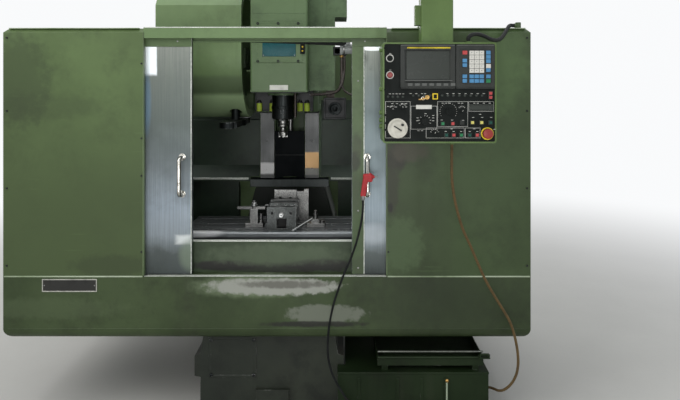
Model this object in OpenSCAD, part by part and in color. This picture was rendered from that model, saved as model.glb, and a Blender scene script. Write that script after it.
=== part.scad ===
/* [Enclosure] */
// Half of the width over the two guards
half_w = 1227; // [1215:1:1260]
// Distance from the origin forward to the guards' front faces
front_y = 960; // [950:1:975]
// Depth of the guards from front to back
guard_depth = 1290; // [1270:1:1330]
// Height of the guards' upper edge
guard_top = 1865; // [1850:1:1900]
// Wall of the folded sheet parts
sheet = 4; // [3:0.5:5]
// Bevel folded along the guards' upper edge
bevel = 20; // [12:1:30]
// Width of the bay between the two guards
bay_w = 1134; // [1120:1:1150]
// Height of the pan's upper edge, on which guards and apron stand
pan_top = 708; // [700:1:716]
// Height of the pan's lower edge
pan_bottom = 414; // [405:1:425]
// Radius of the pan's rolled lower edge
pan_roll = 52; // [40:1:60]
// Width of the header beam's front above the doors
header_h = 46; // [40:1:52]
// Upper edge of the front apron
apron_top = 858; // [850:1:866]

/* [Doors] */
// Clear width between the open doors
opening_w = 752; // [730:1:752]
// Width of one door leaf
door_w = 620; // [615:1:640]
// Thickness of a door leaf over its folded edges
door_t = 25; // [22:1:28]
// Height of the painted strip along a door's upper edge
door_strip = 47; // [35:1:60]
// Distance between the feet of a door handle
handle_pitch = 174; // [150:1:190]
// Distance from the door face to the middle of the handle's grip
handle_reach = 58; // [50:1:62]
// Radius of the handle's bar
handle_r = 9.5; // [7:0.5:10]

/* [Bed and column] */
// Distance of the spindle axis to the right of the middle
spindle_x = 18; // [10:1:26]
// Distance from the origin forward to the spindle axis
spindle_y = 336; // [330:1:342]
// Half width of the bed's foot flange
bed_half = 358; // [350:1:362]
// Height of the bed's foot flange above the floor
flange_z = 200; // [190:1:205]
// Height of the saddle ways
way_z = 596; // [590:1:600]
// Distance of the column's guide face behind the origin
guide_y = 150; // [148:1:160]
// Half width over the column's guide rails
guide_half = 186; // [182:1:190]
// Width of a guide rail
guide_w = 87; // [80:1:90]
// Half width of the column at its foot
column_half = 225; // [222:1:232]
// Height of the column
column_h = 2350; // [2330:1:2380]

/* [Table and vise] */
// Length of the table
table_l = 1000; // [980:1:1010]
// Depth of the table
table_d = 400; // [396:1:404]
// Height of the table's upper face
table_z = 853; // [850:1:856]
// Thickness of the table
table_t = 82; // [76:1:88]
// Distance from one T-slot to the next
slot_pitch = 125; // [110:1:130]
// Width of a T-slot's mouth
slot_w = 18; // [14:1:20]
// Width of the vise
vise_w = 150; // [140:1:154]
// Height of the vise
vise_h = 125; // [118:1:128]
// Length of the vise body
vise_l = 230; // [220:1:240]
// Radius of the vise screw
vise_screw_r = 12; // [10:1:14]

/* [Head] */
// Width of the head's front cover
head_w = 303; // [290:1:306]
// Height of the front cover's lower edge
head_z = 1566; // [1562:1:1580]
// Height of the front cover
head_h = 640; // [600:1:680]
// Distance of the front cover ahead of the spindle axis
head_reach = 241; // [232:1:246]
// Radius of the spindle nose
nose_r = 62; // [58:1:64]
// Height of the spindle nose's lower face
nose_z = 1407; // [1404:1:1410]
// Length of the tool below the spindle nose
tool_l = 101; // [90:1:105]
// Radius of the milling cutter
tool_r = 24; // [18:1:28]

/* [Tool magazine] */
// Radius of the magazine cover's rounded bottom
mag_r = 345; // [340:1:350]
// Width of the magazine cover
mag_w = 459; // [450:1:465]
// Number of tool pots
pots = 16; // [12:1:18]
// Radius of the circle on which the pots sit
pot_circle = 255; // [250:1:262]
// Reach of the changer arm from its shaft to the middle of its grip
arm_reach = 240; // [220:1:245]

/* [Operator panel] */
// Width of the operator panel
panel_w = 479; // [475:1:490]
// Height of the operator panel
panel_h = 425; // [420:1:440]
// Depth of the operator panel's case
panel_d = 150; // [140:1:155]
// Height of the panel's lower edge
panel_z = 1355; // [1345:1:1365]
// Radius of the hand wheel
wheel_r = 42; // [36:1:44]
// Radius of the emergency stop's cap
stop_r = 19; // [16:1:22]

/* [Tank and cabinet] */
// Height of the coolant tank's top
tank_top = 265; // [255:1:270]
// Height of the electrical cabinet
cabinet_h = 1780; // [1700:1:1820]
// Width of the electrical cabinet
cabinet_w = 1300; // [1240:1:1360]
// Depth of the electrical cabinet
cabinet_d = 340; // [300:1:350]
// Radius of a levelling foot
foot_r = 62; // [50:1:70]

/* [Hidden] */
green = [0.28, 0.40, 0.31];
dark = [0.08, 0.09, 0.09];
steel = [0.66, 0.67, 0.66];
chrome = [0.8, 0.82, 0.83];
seat = 0.3;
fine = 48;

wing_y = -front_y;
rear_y = wing_y + guard_depth;
door_y = wing_y + 30;
bay_x = -9;
bay_l = bay_x - bay_w / 2;
bay_r = bay_x + bay_w / 2;
meet_x = spindle_x + 2;
open_l = meet_x - opening_w / 2;
open_r = meet_x + opening_w / 2;
door_z = pan_top + 3;
door_top = guard_top - header_h + 9;
track_z = guard_top - header_h - 14 + sheet;
apron_y = wing_y + 70;
spin_y = -spindle_y;
foot_gap = bed_half - 32;
fit_x = 1180;
fit_y = wing_y + 40;

// A block between two corners
module block(x0, x1, y0, y1, z0, z1) {
    translate([x0, y0, z0]) cube([x1 - x0, y1 - y0, z1 - z0]);
}

// An outline given in X and Z, drawn out along Y
module along_y(y0, y1) {
    translate([0, y1, 0]) rotate([90, 0, 0]) linear_extrude(y1 - y0) children();
}

// An outline given in Y and Z, drawn out along X
module along_x(x0, x1) {
    translate([x0, 0, 0]) rotate([90, 0, 90]) linear_extrude(x1 - x0) children();
}

// An outline given in X and Y, drawn out upwards
module along_z(z0, z1) {
    translate([0, 0, z0]) linear_extrude(z1 - z0) children();
}

// A rod along Y, X or Z
module rod_y(x, z, y0, y1, r) {
    translate([x, y1, z]) rotate([90, 0, 0]) cylinder(r = r, h = y1 - y0, $fn = fine);
}
module rod_x(y, z, x0, x1, r) {
    translate([x0, y, z]) rotate([0, 90, 0]) cylinder(r = r, h = x1 - x0, $fn = fine);
}
module rod_z(x, y, z0, z1, r) {
    translate([x, y, z0]) cylinder(r = r, h = z1 - z0, $fn = fine);
}

// What a rounded corner leaves of its square, at (x, y) and towards (sx, sy)
module corner(x, y, r, sx, sy) {
    difference() {
        translate([x - (sx < 0 ? r : 1), y - (sy < 0 ? r : 1)]) square(r + 1);
        translate([x + sx * r, y + sy * r]) circle(r = r, $fn = fine);
    }
}

// A rectangle whose four corners are rounded
module soft_rect(x0, x1, y0, y1, r) {
    difference() {
        translate([x0, y0]) square([x1 - x0, y1 - y0]);
        corner(x0, y0, r, 1, 1);
        corner(x1, y0, r, -1, 1);
        corner(x0, y1, r, 1, -1);
        corner(x1, y1, r, -1, -1);
    }
}

// The bed casting: foot flange, pocketed body and two saddle ways
module bed() {
    body_half = bed_half - 28;
    front = apron_y + 20;
    rear = cab_y - 30;
    color(green) difference() {
        union() {
            along_y(front, rear) polygon([[-body_half, 62], [body_half, 62],
                [body_half, flange_z], [bed_half, flange_z + 6], [bed_half, flange_z + 100],
                [body_half, flange_z + 112], [body_half - 40, way_z - 46],
                [40 - body_half, way_z - 46], [-body_half, flange_z + 112],
                [-bed_half, flange_z + 100], [-bed_half, flange_z + 6], [-body_half, flange_z]]);
            block(-bed_half + 40, bed_half - 40, guide_y - 2, rear, 500, 640);
            for (s = [-1, 1])
                block(spindle_x + s * 215 - 45, spindle_x + s * 215 + 45,
                    front + 40, guide_y - 2, way_z - 50, way_z);
            block(-60, 96, front - 26, front + 2, 90, 150);
        }
        // Chip trough between the ways, and casting pockets in the sides
        block(spindle_x - 150, spindle_x + 150, front + 40, guide_y - 60, way_z - 120, way_z + 1);
        for (s = [-1, 1], y = [front + 120 : 420 : rear - 380])
            translate([s * bed_half, y, 0]) along_x(-60, 60) soft_rect(0, 300, 90, 180, 30);
        block(-200, 236, front - 1, front + 60, 62 - 1, 72);
    }
}

foot_x = [-270, 270];
foot_y = [-780, -240, 300, 830];
// Levelling feet: pad, stem and lock nut at each corner and along the sides
module feet() {
    color(steel) for (x = foot_x, y = foot_y) translate([x, y, 0]) {
        cylinder(r1 = foot_r, r2 = foot_r - 6, h = 16, $fn = fine);
        cylinder(r = 20, h = 40, $fn = fine);
        translate([0, 0, 40]) cylinder(r = 36, h = 62 - 40, $fn = 6);
    }
}

// The column: a tapered casting with a wide foot, ribbed flanks and a motor seat on top
module column() {
    foot_h = 640;
    color(green) difference() {
        along_y(guide_y, guide_y + 560) polygon([
            [spindle_x - column_half - 60, foot_h], [spindle_x + column_half + 60, foot_h],
            [spindle_x + column_half + 60, foot_h + 60], [spindle_x + column_half, 930],
            [spindle_x + guide_half + 8, 990], [spindle_x + guide_half + 8, column_h],
            [spindle_x - guide_half - 8, column_h], [spindle_x - guide_half - 8, 990],
            [spindle_x - column_half, 930], [spindle_x - column_half - 60, foot_h + 60]]);
        // The back leans forward towards the top
        along_x(-600, 600) polygon([[guide_y + 561, 1000], [guide_y + 561, column_h + 1],
            [guide_y + 400, column_h + 1]]);
        // Slot for the ball screw between the guide rails
        block(spindle_x - guide_half + guide_w + 6, spindle_x + guide_half - guide_w - 6,
            guide_y - 1, guide_y + 100, 1010, column_h + 1);
        // Casting pockets in the flanks
        for (s = [-1, 1], z = [1360, 1690, 2020])
            translate([spindle_x + s * guide_half, guide_y + 90, z])
                along_x(-30, 30) soft_rect(0, 260, 0, 240, 40);
        // Opening for the balance chain in the back
        block(spindle_x - 90, spindle_x + 90, guide_y + 300, guide_y + 570, 1500, 1900);
    }
}

rail_t = 34;
rail_low = 1006;
// Two hardened guide rails with their rows of fixing screws
module guide_rails() {
    color(steel) for (s = [-1, 1]) difference() {
        block(spindle_x + s * (guide_half - guide_w / 2) - guide_w / 2,
            spindle_x + s * (guide_half - guide_w / 2) + guide_w / 2,
            guide_y - rail_t, guide_y, rail_low, column_h - 20);
        for (z = [rail_low + 60 : 180 : column_h - 80])
            rod_y(spindle_x + s * (guide_half - guide_w / 2), z,
                guide_y - rail_t - 1, guide_y - rail_t + 10, 9);
    }
}

// Cover between the rails, whose lower edge is cut to an arc, and the ledge under it
module rail_cover() {
    inner = guide_half - guide_w - 5;
    color(dark) {
        difference() {
            block(spindle_x - inner, spindle_x + inner, guide_y - 30, guide_y - 26,
                rail_low, 1306);
            translate([spindle_x, guide_y - 20, rail_low - 150]) rotate([90, 0, 0])
                cylinder(r = 162, h = 20, $fn = 96);
        }
        // Side returns against the column's face
        for (s = [-1, 1])
            block(spindle_x + s * (inner - 2) - 2, spindle_x + s * (inner - 2) + 2,
                guide_y - 28, guide_y - seat, rail_low - 8, 1306);
    }
    color(green) along_x(spindle_x - column_half - 26, spindle_x + column_half + 26)
        polygon([[guide_y - 50, rail_low - 6], [guide_y - 50, rail_low - 54],
            [guide_y - 44, rail_low - 54], [guide_y - 44, rail_low - 14],
            [guide_y - 0.3, rail_low - 4], [guide_y - 0.3, rail_low]]);
}

// The outer shape of a tray whose front and side edges roll under
module pan_shape(t) {
    r = pan_roll - t;
    intersection() {
        along_x(-half_w + t, half_w - t) difference() {
            translate([wing_y + t, pan_bottom + t])
                square([guard_depth - 2 * t, pan_top - pan_bottom + t]);
            corner(wing_y + t, pan_bottom + t, r, 1, 1);
        }
        along_y(wing_y + t, rear_y - t) difference() {
            translate([t - half_w, pan_bottom + t])
                square([2 * half_w - 2 * t, pan_top - pan_bottom + t]);
            corner(t - half_w, pan_bottom + t, r, 1, 1);
            corner(half_w - t, pan_bottom + t, r, -1, 1);
        }
    }
}

// The chip pan round the bed, with a ledge along its front and a collar round the bed
module chip_pan() {
    gap = 6;
    color(green) difference() {
        union() {
            difference() {
                pan_shape(0);
                pan_shape(sheet);
                block(-half_w - 1, half_w + 1, wing_y - 1, rear_y + 1, pan_top, pan_top + 60);
            }
            // Ledge on which the doors and the apron stand
            block(-half_w + sheet, half_w - sheet, wing_y + sheet, apron_y + 30,
                pan_top - sheet, pan_top);
            // Collar round the bed
            block(-bed_half - gap - sheet, bed_half + gap + sheet, apron_y + 10,
                rear_y - sheet, pan_bottom, 500);
        }
        block(-bed_half - gap, bed_half + gap, apron_y + 14, rear_y + 1,
            pan_bottom - 1, 501);
        // The column's foot stands through the rear wall
        block(-foot_gap, foot_gap, rear_y - 20, rear_y + 1, 499, pan_top + 1);
    }
    // Brackets that hang the pan on the bed's flange
    hold = bed_half - 27;
    color(green) for (s = [-1, 1], y = [-640, -40]) mirror([s < 0 ? 1 : 0, 0, 0]) {
        block(hold, hold + 14, y, y + 60, flange_z + 112 + seat, pan_bottom + 26);
        block(hold, bed_half + gap + sheet - 1, y, y + 60, pan_bottom + 10, pan_bottom + 26);
    }
}

// A guard's outer shape, or its hollow where t is the wall: side -1 is the left one, 1 the right
module guard_shape(side, t) {
    inner = side < 0 ? -bay_l : bay_r;
    top = guard_top - t;
    b = bevel - t / 2;
    mirror([side < 0 ? 1 : 0, 0, 0]) intersection() {
        along_x(inner + t, half_w - t) polygon([
            [wing_y + t, pan_top - t], [wing_y + t, top - b], [wing_y + t + b, top],
            [rear_y - t, top], [rear_y - t, pan_top - t]]);
        along_y(wing_y + t, rear_y - t) polygon([[0, pan_top - t], [half_w - t, pan_top - t],
            [half_w - t, top - b], [half_w - t - b, top], [0, top]]);
    }
}

// One guard: a folded cabinet of sheet, open towards the bay and on top
module guard(side) {
    inner = side < 0 ? -bay_l : bay_r;
    difference() {
        guard_shape(side, 0);
        guard_shape(side, sheet);
        mirror([side < 0 ? 1 : 0, 0, 0]) {
            block(inner - 1, inner + sheet + 1, wing_y + 25, rear_y - sheet, pan_top - 1,
                guard_top + 1);
            block(inner - 1, half_w - 70, wing_y + 80, rear_y - 60, guard_top - sheet - 1,
                guard_top + 1);
        }
    }
}
module left_guard() { color(green) guard(-1); }
module right_guard() {
    color(green) guard(1);
    // Brass fitting of the panel's conduit on the guard's top
    color([0.6, 0.45, 0.2]) {
        rod_z(fit_x, fit_y, guard_top - 2, guard_top + 4, 17);
        rod_z(fit_x, fit_y, guard_top + 3, guard_top + 30, 13);
        rod_x(fit_y, guard_top + 16, fit_x - 18, fit_x, 10);
    }
}

// The header over the doors: a folded beam with a lip, and the door track inside it
module header() {
    y0 = wing_y + 3;
    low = guard_top - header_h;
    color(green) along_x(bay_l + 0.3, bay_r - 0.3) union() {
        difference() {
            translate([y0, low]) square([90, header_h + 5]);
            translate([y0 + sheet, low - 1]) square([90 - 2 * sheet, header_h + 6 - sheet]);
            corner(y0, guard_top + 5, 8, 1, -1);
        }
        // Track rail hanging inside
        translate([y0 + 90 - sheet - 12, low - 14]) square([8, 40]);
        translate([y0 + 90 - sheet - 26, low - 14]) square([16, sheet]);
    }
    color(green) for (x = [bay_l + 1, bay_r - 26])
        block(x, x + 25, y0 + 90 - sheet, y0 + 120, low - 60, guard_top - 4);
}

// The front apron between pan and work area, folded over along its upper edge
module apron() {
    color(green) {
        along_x(bay_l + 12, bay_r - 12) polygon([[apron_y, pan_top], [apron_y + 30, pan_top],
            [apron_y + 30, pan_top + sheet], [apron_y + sheet, pan_top + sheet],
            [apron_y + sheet, apron_top - sheet], [apron_y + 22, apron_top - sheet],
            [apron_y + 22, apron_top - 18], [apron_y + 22 + sheet, apron_top - 18],
            [apron_y + 22 + sheet, apron_top], [apron_y, apron_top]]);
        for (x = [bay_l + 12, bay_r - 12 - sheet])
            block(x, x + sheet, apron_y + sheet + 0.5, apron_y + 60, pan_top + sheet + 1,
                apron_top - sheet - 1);
    }
}

guard_wall_y = guide_y + 76;
// The splash guard at the back: wall, sloped apron, bright lip and a dark wall under it
module rear_guard() {
    edge = half_w - sheet - seat;
    color(green) difference() {
        along_x(-edge, edge) polygon([
            [guard_wall_y, 1370], [guard_wall_y, 1075], [guard_wall_y - 100, rail_low - 2],
            [guard_wall_y - 100, rail_low - 22], [guard_wall_y - 96, rail_low - 22],
            [guard_wall_y - 96, rail_low - 5], [guard_wall_y + 4, 1071],
            [guard_wall_y + 4, 1366], [guard_wall_y + 64, 1366],
            [guard_wall_y + 64, 1500], [guard_wall_y + 60, 1500], [guard_wall_y + 60, 1370]]);
        block(spindle_x - column_half - 30, spindle_x + column_half + 30,
            guide_y - 60, rear_y, 900, rail_low + 6);
        block(spindle_x - guide_half - 12, spindle_x + guide_half + 12,
            guide_y - 60, rear_y, rail_low, 1600);
    }
    color(dark) difference() {
        block(-edge, edge, guard_wall_y + 10, guard_wall_y + 14, 506, 1068);
        block(-foot_gap, foot_gap, guide_y, rear_y, 500, 1069);
    }
    color(dark) for (s = [-1, 1], k = [0, 1]) {
        x = s * (foot_gap + 4 + k * 420) - sheet / 2;
        along_x(x, x + sheet) polygon([[guard_wall_y + 12, 506], [rear_y - sheet - 0.3, 506],
            [rear_y - sheet - 0.3, 900], [guard_wall_y + 12, 1060]]);
    }
}

cab_y = 1270 - cabinet_d;
cab_z = 60;
// The electrical cabinet behind the column: a hollow housing with plinth and roof
module cabinet() {
    w = cabinet_w / 2;
    color(green) difference() {
        along_z(cab_z, cab_z + cabinet_h) soft_rect(-w, w, cab_y, 1270 - 22, 12);
        block(-w + sheet, w - sheet, cab_y + sheet, 1271, cab_z + 30, cab_z + cabinet_h - 30);
        // Vents in both side walls
        for (s = [-1, 1], k = [0 : 7])
            block(s * w - 10, s * w + 10, cab_y + 70, cab_y + 210, 1500 + k * 26, 1510 + k * 26);
    }
    color(steel) {
        for (x = [-w + 60, w - 60], y = [cab_y + 60, 1270 - 82])
            rod_z(x, y, 0, cab_z, 24);
        // Mounting plate with its row of drives
        block(-w + 60, w - 60, cab_y + sheet, cab_y + 24, cab_z + 90, cab_z + cabinet_h - 90);
        for (k = [0 : 4])
            block(-480 + k * 200, -340 + k * 200, cab_y + 24, cab_y + 190, 900, 1250);
    }
    color(green) for (s = [-1, 1])
        block(spindle_x + s * 170 - 30, spindle_x + s * 170 + 30, guide_y + 560 + seat, cab_y,
            930, 985);
    color(steel) for (z = hinge_zs) {
        rod_z(hinge_x, 1260, z - 34, z - seat, 8);
        rod_z(hinge_x, 1260, z - 34, z + 80, 4);
        block(-w, hinge_x, 1254, 1260, z - 34, z - seat);
        block(-w, sheet - w, 1230, 1260, z - 34, z - seat);
    }
}
hinge_zs = [cab_z + 200, cab_z + cabinet_h - 300];

hinge_x = -cabinet_w / 2 + 16;
// The cabinet's door at the back, with its lever switch and hinge barrels
module cabinet_door() {
    w = cabinet_w / 2;
    color(green) {
        difference() {
            along_z(cab_z + 34, cab_z + cabinet_h - 34)
                soft_rect(-w + 26, w - 6, 1270 - 19, 1270, 6);
            block(-w + 32, w - 12, 1240, 1270 - 3, cab_z + 40, cab_z + cabinet_h - 40);
        }
        for (z = hinge_zs) difference() {
            union() {
                rod_z(hinge_x, 1260, z, z + 90, 8);
                block(hinge_x, -w + 30, 1256, 1262, z, z + 90);
            }
            rod_z(hinge_x, 1260, z - 1, z + 81, 4.05);
        }
    }
    color(dark) {
        rod_y(w - 90, 1250, 1270 - 3, 1270 - 1, 40);
        block(w - 98, w - 82, 1270 - 1, 1270 + 0, 1190, 1262);
    }
}

tank_l = 330;
tank_r = 1030;
tank_front = wing_y - 4;
// The tank's outline from above: it steps round the front of the bed
module tank_plan(t) {
    polygon([[tank_l + t, tank_front + t], [tank_r - t, tank_front + t], [tank_r - t, -300 - t],
        [bed_half + 10 + t, -300 - t], [bed_half + 10 + t, apron_y + 6 - t],
        [tank_l + t, apron_y + 6 - t]]);
}

// The coolant tank under the pan: a sheet box with lid, runners and level gauge
module tank() {
    color(green) {
        difference() {
            along_z(18, tank_top - 6) tank_plan(0);
            along_z(18 + sheet, tank_top) tank_plan(sheet);
        }
        // Runners of the chip tray
        for (x = [tray_l + 20, tray_r - 50])
            block(x, x + 30, tray_y + 10, tray_back - 10, tank_top - 1, 290 - seat);
        difference() {
            along_z(tank_top - 6, tank_top) tank_plan(-2);
            // Screen-covered inlet, pump seat
            for (k = [0 : 5])
                block(tank_l + 300 + k * 40, tank_l + 320 + k * 40, -480, -330,
                    tank_top - 7, tank_top + 1);
        }
    }
    color(steel) {
        for (x = [bed_half + 60, tank_r - 60], y = [tank_front + 60, -360])
            rod_z(x, y, 0, 18, 26);
    }
    color([0.8, 0.85, 0.8]) difference() {
        along_y(tank_front - 8, tank_front) soft_rect(824, 846, 60, 244, 8);
        along_y(tank_front - 9, tank_front - 3) soft_rect(830, 840, 80, 226, 4);
    }
}

// Coolant pump on the tank's lid: flange, motor with cooling ribs and outlet
module pump() {
    x = 930;
    y = -392;
    color(green) {
        rod_z(x, y, tank_top + seat, tank_top + 14, 76);
        rod_z(x, y, tank_top + 14, 330, 58);
        for (k = [0 : 5]) rod_z(x, y, tank_top + 20 + k * 8, tank_top + 23 + k * 8, 66);
    }
    color(steel) rod_y(x, 300, y - 90, y, 15);
}

mag_cy = -185;
mag_cz = 1758;
mag_x1 = spindle_x - guide_half - 20;
mag_x0 = mag_x1 - mag_w;
drum_x1 = mag_x1 - 151;
mag_flat = 2028;
mag_top = 2187;

// The magazine cover's outline: flat front, round underside, top folded back twice
module mag_outline(t) {
    r = mag_r - t;
    difference() {
        union() {
            translate([mag_cy, mag_cz]) circle(r = r, $fn = 96);
            polygon([[mag_cy - r, mag_cz], [mag_cy - r, mag_flat - t / 2],
                [mag_cy - r + 130, mag_top - t], [mag_cy + r - 130, mag_top - t],
                [mag_cy + r, mag_flat - t / 2], [mag_cy + r, mag_cz]]);
        }
    }
}

// The magazine cover: a closed drum of sheet with a rim on the side towards the spindle
module magazine_cover() {
    color(green) difference() {
        along_x(mag_x0, mag_x1) mag_outline(0);
        along_x(mag_x0 + sheet, mag_x1 - sheet) mag_outline(sheet);
        along_x(mag_x1 - sheet - 1, mag_x1 + 1) mag_outline(42);
        // Hole for the changer shaft, and the cut-out for the carrier at the column
        rod_z(arm_x, spin_y, 1380, 1500, 34);
        block(mag_x1 - 150, mag_x1 + 1, guide_y - 60, guide_y + 70, mag_cz - 70, mag_cz + 70);
    }
}

// The magazine's carrier: an arm from the column's flank to the drum's axle
module magazine_frame() {
    color(green) {
        difference() {
            union() {
                block(drum_x1 + 12, mag_x1 - 20, mag_cy - 60, guide_y + 30,
                    mag_cz - 60, mag_cz + 60);
                block(drum_x1 + 12, spindle_x - guide_half - 8.3, guide_y + 2, guide_y + 60,
                    mag_cz - 60, mag_cz + 60);
            }
            block(drum_x1 + 24, mag_x1 - 32, mag_cy + 60, guide_y - 50, mag_cz - 61, mag_cz + 61);
            rod_x(mag_cy, mag_cz, drum_x1, mag_x1, 30.05);
        }
        // Bracket up to the cover's flank
        block(drum_x1 + 12, drum_x1 + 24, mag_cy - 20, mag_cy + 20, mag_cz + 60,
            mag_top - sheet - seat);
    }
    color(steel) rod_x(mag_cy, mag_cz, mag_x0 + sheet + seat, mag_x1 - 24, 30);
}

// The tool drum: disc with spokes, and its ring of tool pots
module tool_drum() {
    color(steel) translate([0, mag_cy, mag_cz]) difference() {
        union() {
            rod_x(0, 0, drum_x1 - 180, drum_x1, 62);
            rod_x(0, 0, drum_x1 - 130, drum_x1 - 100, pot_circle);
            for (k = [0 : pots - 1]) rotate([k * 360 / pots, 0, 0]) translate([0, 0, pot_circle]) {
                rod_x(0, 0, drum_x1 - 160, drum_x1 - 30, 38);
                rod_x(0, 0, drum_x1 - 30, drum_x1 - 22, 30);
            }
        }
        rod_x(0, 0, drum_x1 - 200, drum_x1 + 20, 30.05);
        for (k = [0 : pots - 1]) rotate([k * 360 / pots, 0, 0]) translate([0, 0, pot_circle])
            rod_x(0, 0, drum_x1 - 110, drum_x1 + 1, 22);
        for (k = [0 : 5]) rotate([k * 60 + 30, 0, 0]) translate([0, 0, 140])
            rod_x(0, 0, drum_x1 - 140, drum_x1 - 90, 40);
    }
}

arm_x = spindle_x - 268;
arm_z = 1372;
arm_t = 32;
// The changer's gear box inside the cover, with its shaft down to the arm
module changer_unit() {
    color(green) difference() {
        union() {
            along_z(1540, 1690) soft_rect(arm_x - 48, arm_x + 50, spin_y - 70, mag_cy - 66, 14);
            rod_z(arm_x, spin_y, 1480, 1540, 46);
            block(arm_x - 40, arm_x + 40, mag_cy - 70, mag_cy - 60.3, mag_cz - 60, mag_cz + 20);
            block(arm_x - 40, arm_x + 40, mag_cy - 90, mag_cy - 60.3, 1600, mag_cz - 60);
        }
        rod_z(arm_x, spin_y, 1479, 1620, 24.05);
    }
}

// The changer arm: a double gripper on its shaft
module changer_arm() {
    color(steel) difference() {
        union() {
            along_z(arm_z, arm_z + arm_t) union() {
                translate([arm_x, spin_y]) circle(r = 58, $fn = 64);
                for (s = [-1, 1]) translate([arm_x, spin_y + s * arm_reach])
                    circle(r = 45, $fn = 64);
                translate([arm_x, spin_y]) polygon([[-40, -arm_reach], [40, -arm_reach],
                    [44, 0], [40, arm_reach], [-40, arm_reach], [-44, 0]]);
            }
            rod_z(arm_x, spin_y, arm_z + arm_t, 1600, 24);
        }
        // The two grips, open towards opposite sides
        for (s = [-1, 1]) {
            rod_z(arm_x, spin_y + s * arm_reach, arm_z - 1, arm_z + arm_t + 1, 26);
            block(arm_x + (s < 0 ? 0 : -60), arm_x + (s < 0 ? 60 : 0),
                spin_y + s * arm_reach - 25, spin_y + s * arm_reach + 25,
                arm_z - 1, arm_z + arm_t + 1);
        }
        // Lightening pockets
        for (s = [-1, 1])
            rod_z(arm_x, spin_y + s * 118, arm_z + 12, arm_z + arm_t + 1, 26);
    }
}

// The drive of the head on top of the column
module z_motor() {
    y = screw_y_z;
    color(dark) {
        along_z(column_h + 60, column_h + 78) soft_rect(spindle_x - 70, spindle_x + 70,
            y - 64, y + 70, 10);
        along_z(column_h + 78, column_h + 250) soft_rect(spindle_x - 62, spindle_x + 62,
            y - 58, y + 62, 14);
    }
    color(green) difference() {
        block(spindle_x - 120, spindle_x + 120, guide_y + 2, guide_y + 190, column_h,
            column_h + 60);
        block(spindle_x - 60, spindle_x + 60, guide_y - 1, guide_y + 191, column_h - 1,
            column_h + 44);
        rod_z(spindle_x, y, column_h + 40, column_h + 61, screw_r + 0.05);
    }
}

motor_y = apron_y + 120;
// The drive of the saddle at the front of the bed, on its bearing block
module y_motor() {
    color(dark) along_y(apron_y + 44, motor_y) soft_rect(spindle_x - 45, spindle_x + 45,
        screw_z_y - 45, screw_z_y + 45, 10);
    color(green) block(spindle_x - 38, spindle_x + 38, apron_y + 62, motor_y - 10,
        way_z - 120 + seat, screw_z_y - 44);
}

post_x = 782;
// The post on the guard's top and the arm from which the operator panel hangs
module pendant_post() {
    color(green) {
        difference() {
            along_z(guard_top, 2290) soft_rect(post_x - 65, post_x + 65, wing_y + 8, wing_y + 70, 12);
            along_z(guard_top + 6, 2284) soft_rect(post_x - 60, post_x + 60, wing_y + 13,
                wing_y + 65, 8);
        }
        difference() {
            along_x(duct_x - 50, post_x + 65) soft_rect(duct_y - 60, wing_y + 7.7, 2214, 2290, 12);
            along_x(duct_x - 44, post_x + 59) soft_rect(duct_y - 54, wing_y + 2, 2220, 2284, 8);
        }
        rod_z(duct_x, duct_y, 2196, 2214, 44);
    }
}

// Tube lamp under the header, with its end cap and clip
module work_lamp() {
    y = wing_y + 126;
    z = guard_top - header_h - 44;
    color([0.9, 0.9, 0.88]) rod_x(y, z, 352, 508, 24);
    color(dark) {
        rod_x(y, z, 340, 352, 28);
        rod_x(y, z, 508, 520, 28);
        for (x = [370, 480])
            block(x, x + 20, wing_y + 93 + seat, y + 20, z + 20, z + 60);
    }
}

// A door leaf: a folded skin with returns, a painted strip on top, hangers for the track
module door(x0, strip_x) {
    difference() {
        block(x0, x0 + door_w, door_y, door_y + door_t, door_z, door_top);
        block(x0 + 2, x0 + door_w - 2, door_y + 2, door_y + door_t + 1, door_z + 2, door_top - 2);
    }
    // Inner skin
    block(x0 + 2, x0 + door_w - 2, door_y + door_t - 3, door_y + door_t - 2, door_z + 2,
        door_top - 2);
    // Painted strips folded over the face
    block(x0, x0 + door_w, door_y - 2, door_y, door_top - door_strip, door_top);
    if (strip_x > 0)
        block(x0, x0 + strip_x, door_y - 2, door_y, door_z, door_top - door_strip);
    // Hangers whose rollers run on the header's track
    for (x = [x0 + 60, x0 + door_w - 100]) {
        block(x, x + 40, door_y + door_t - 3, door_y + door_t + 5, door_top - 60, track_z + 26);
        rod_y(x + 20, track_z + 14 + seat, door_y + door_t + 4, door_y + door_t + 19, 14);
    }
}
module left_door() { color(steel) door(open_l - door_w, 0); }
module right_door() { color(steel) door(open_r, 47); }

handle_z = 1175;
// A bent bar handle with round bosses at its two feet
module handle(x) {
    r = 22;
    h = handle_pitch / 2;
    g = door_y - handle_reach;
    color(chrome) {
        for (s = [-1, 1]) {
            rod_y(x, handle_z + s * h, door_y - 8, door_y - seat, 14);
            rod_y(x, handle_z + s * h, g + r, door_y - 8, handle_r);
            translate([x, g + r, handle_z + s * (h - r)]) rotate([90, 0, -90])
                rotate([0, 0, s > 0 ? 0 : 270]) rotate_extrude(angle = 90, $fn = fine)
                    translate([r, 0]) circle(r = handle_r, $fn = 32);
        }
        rod_z(x, g, handle_z - h + r, handle_z + h - r, handle_r);
    }
}
module left_handle() { handle(open_l - 46); }
module right_handle() { handle(open_r + 71); }

gun_x = open_r + 71;
gun_y = door_y - handle_reach - handle_r - 20;
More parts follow.
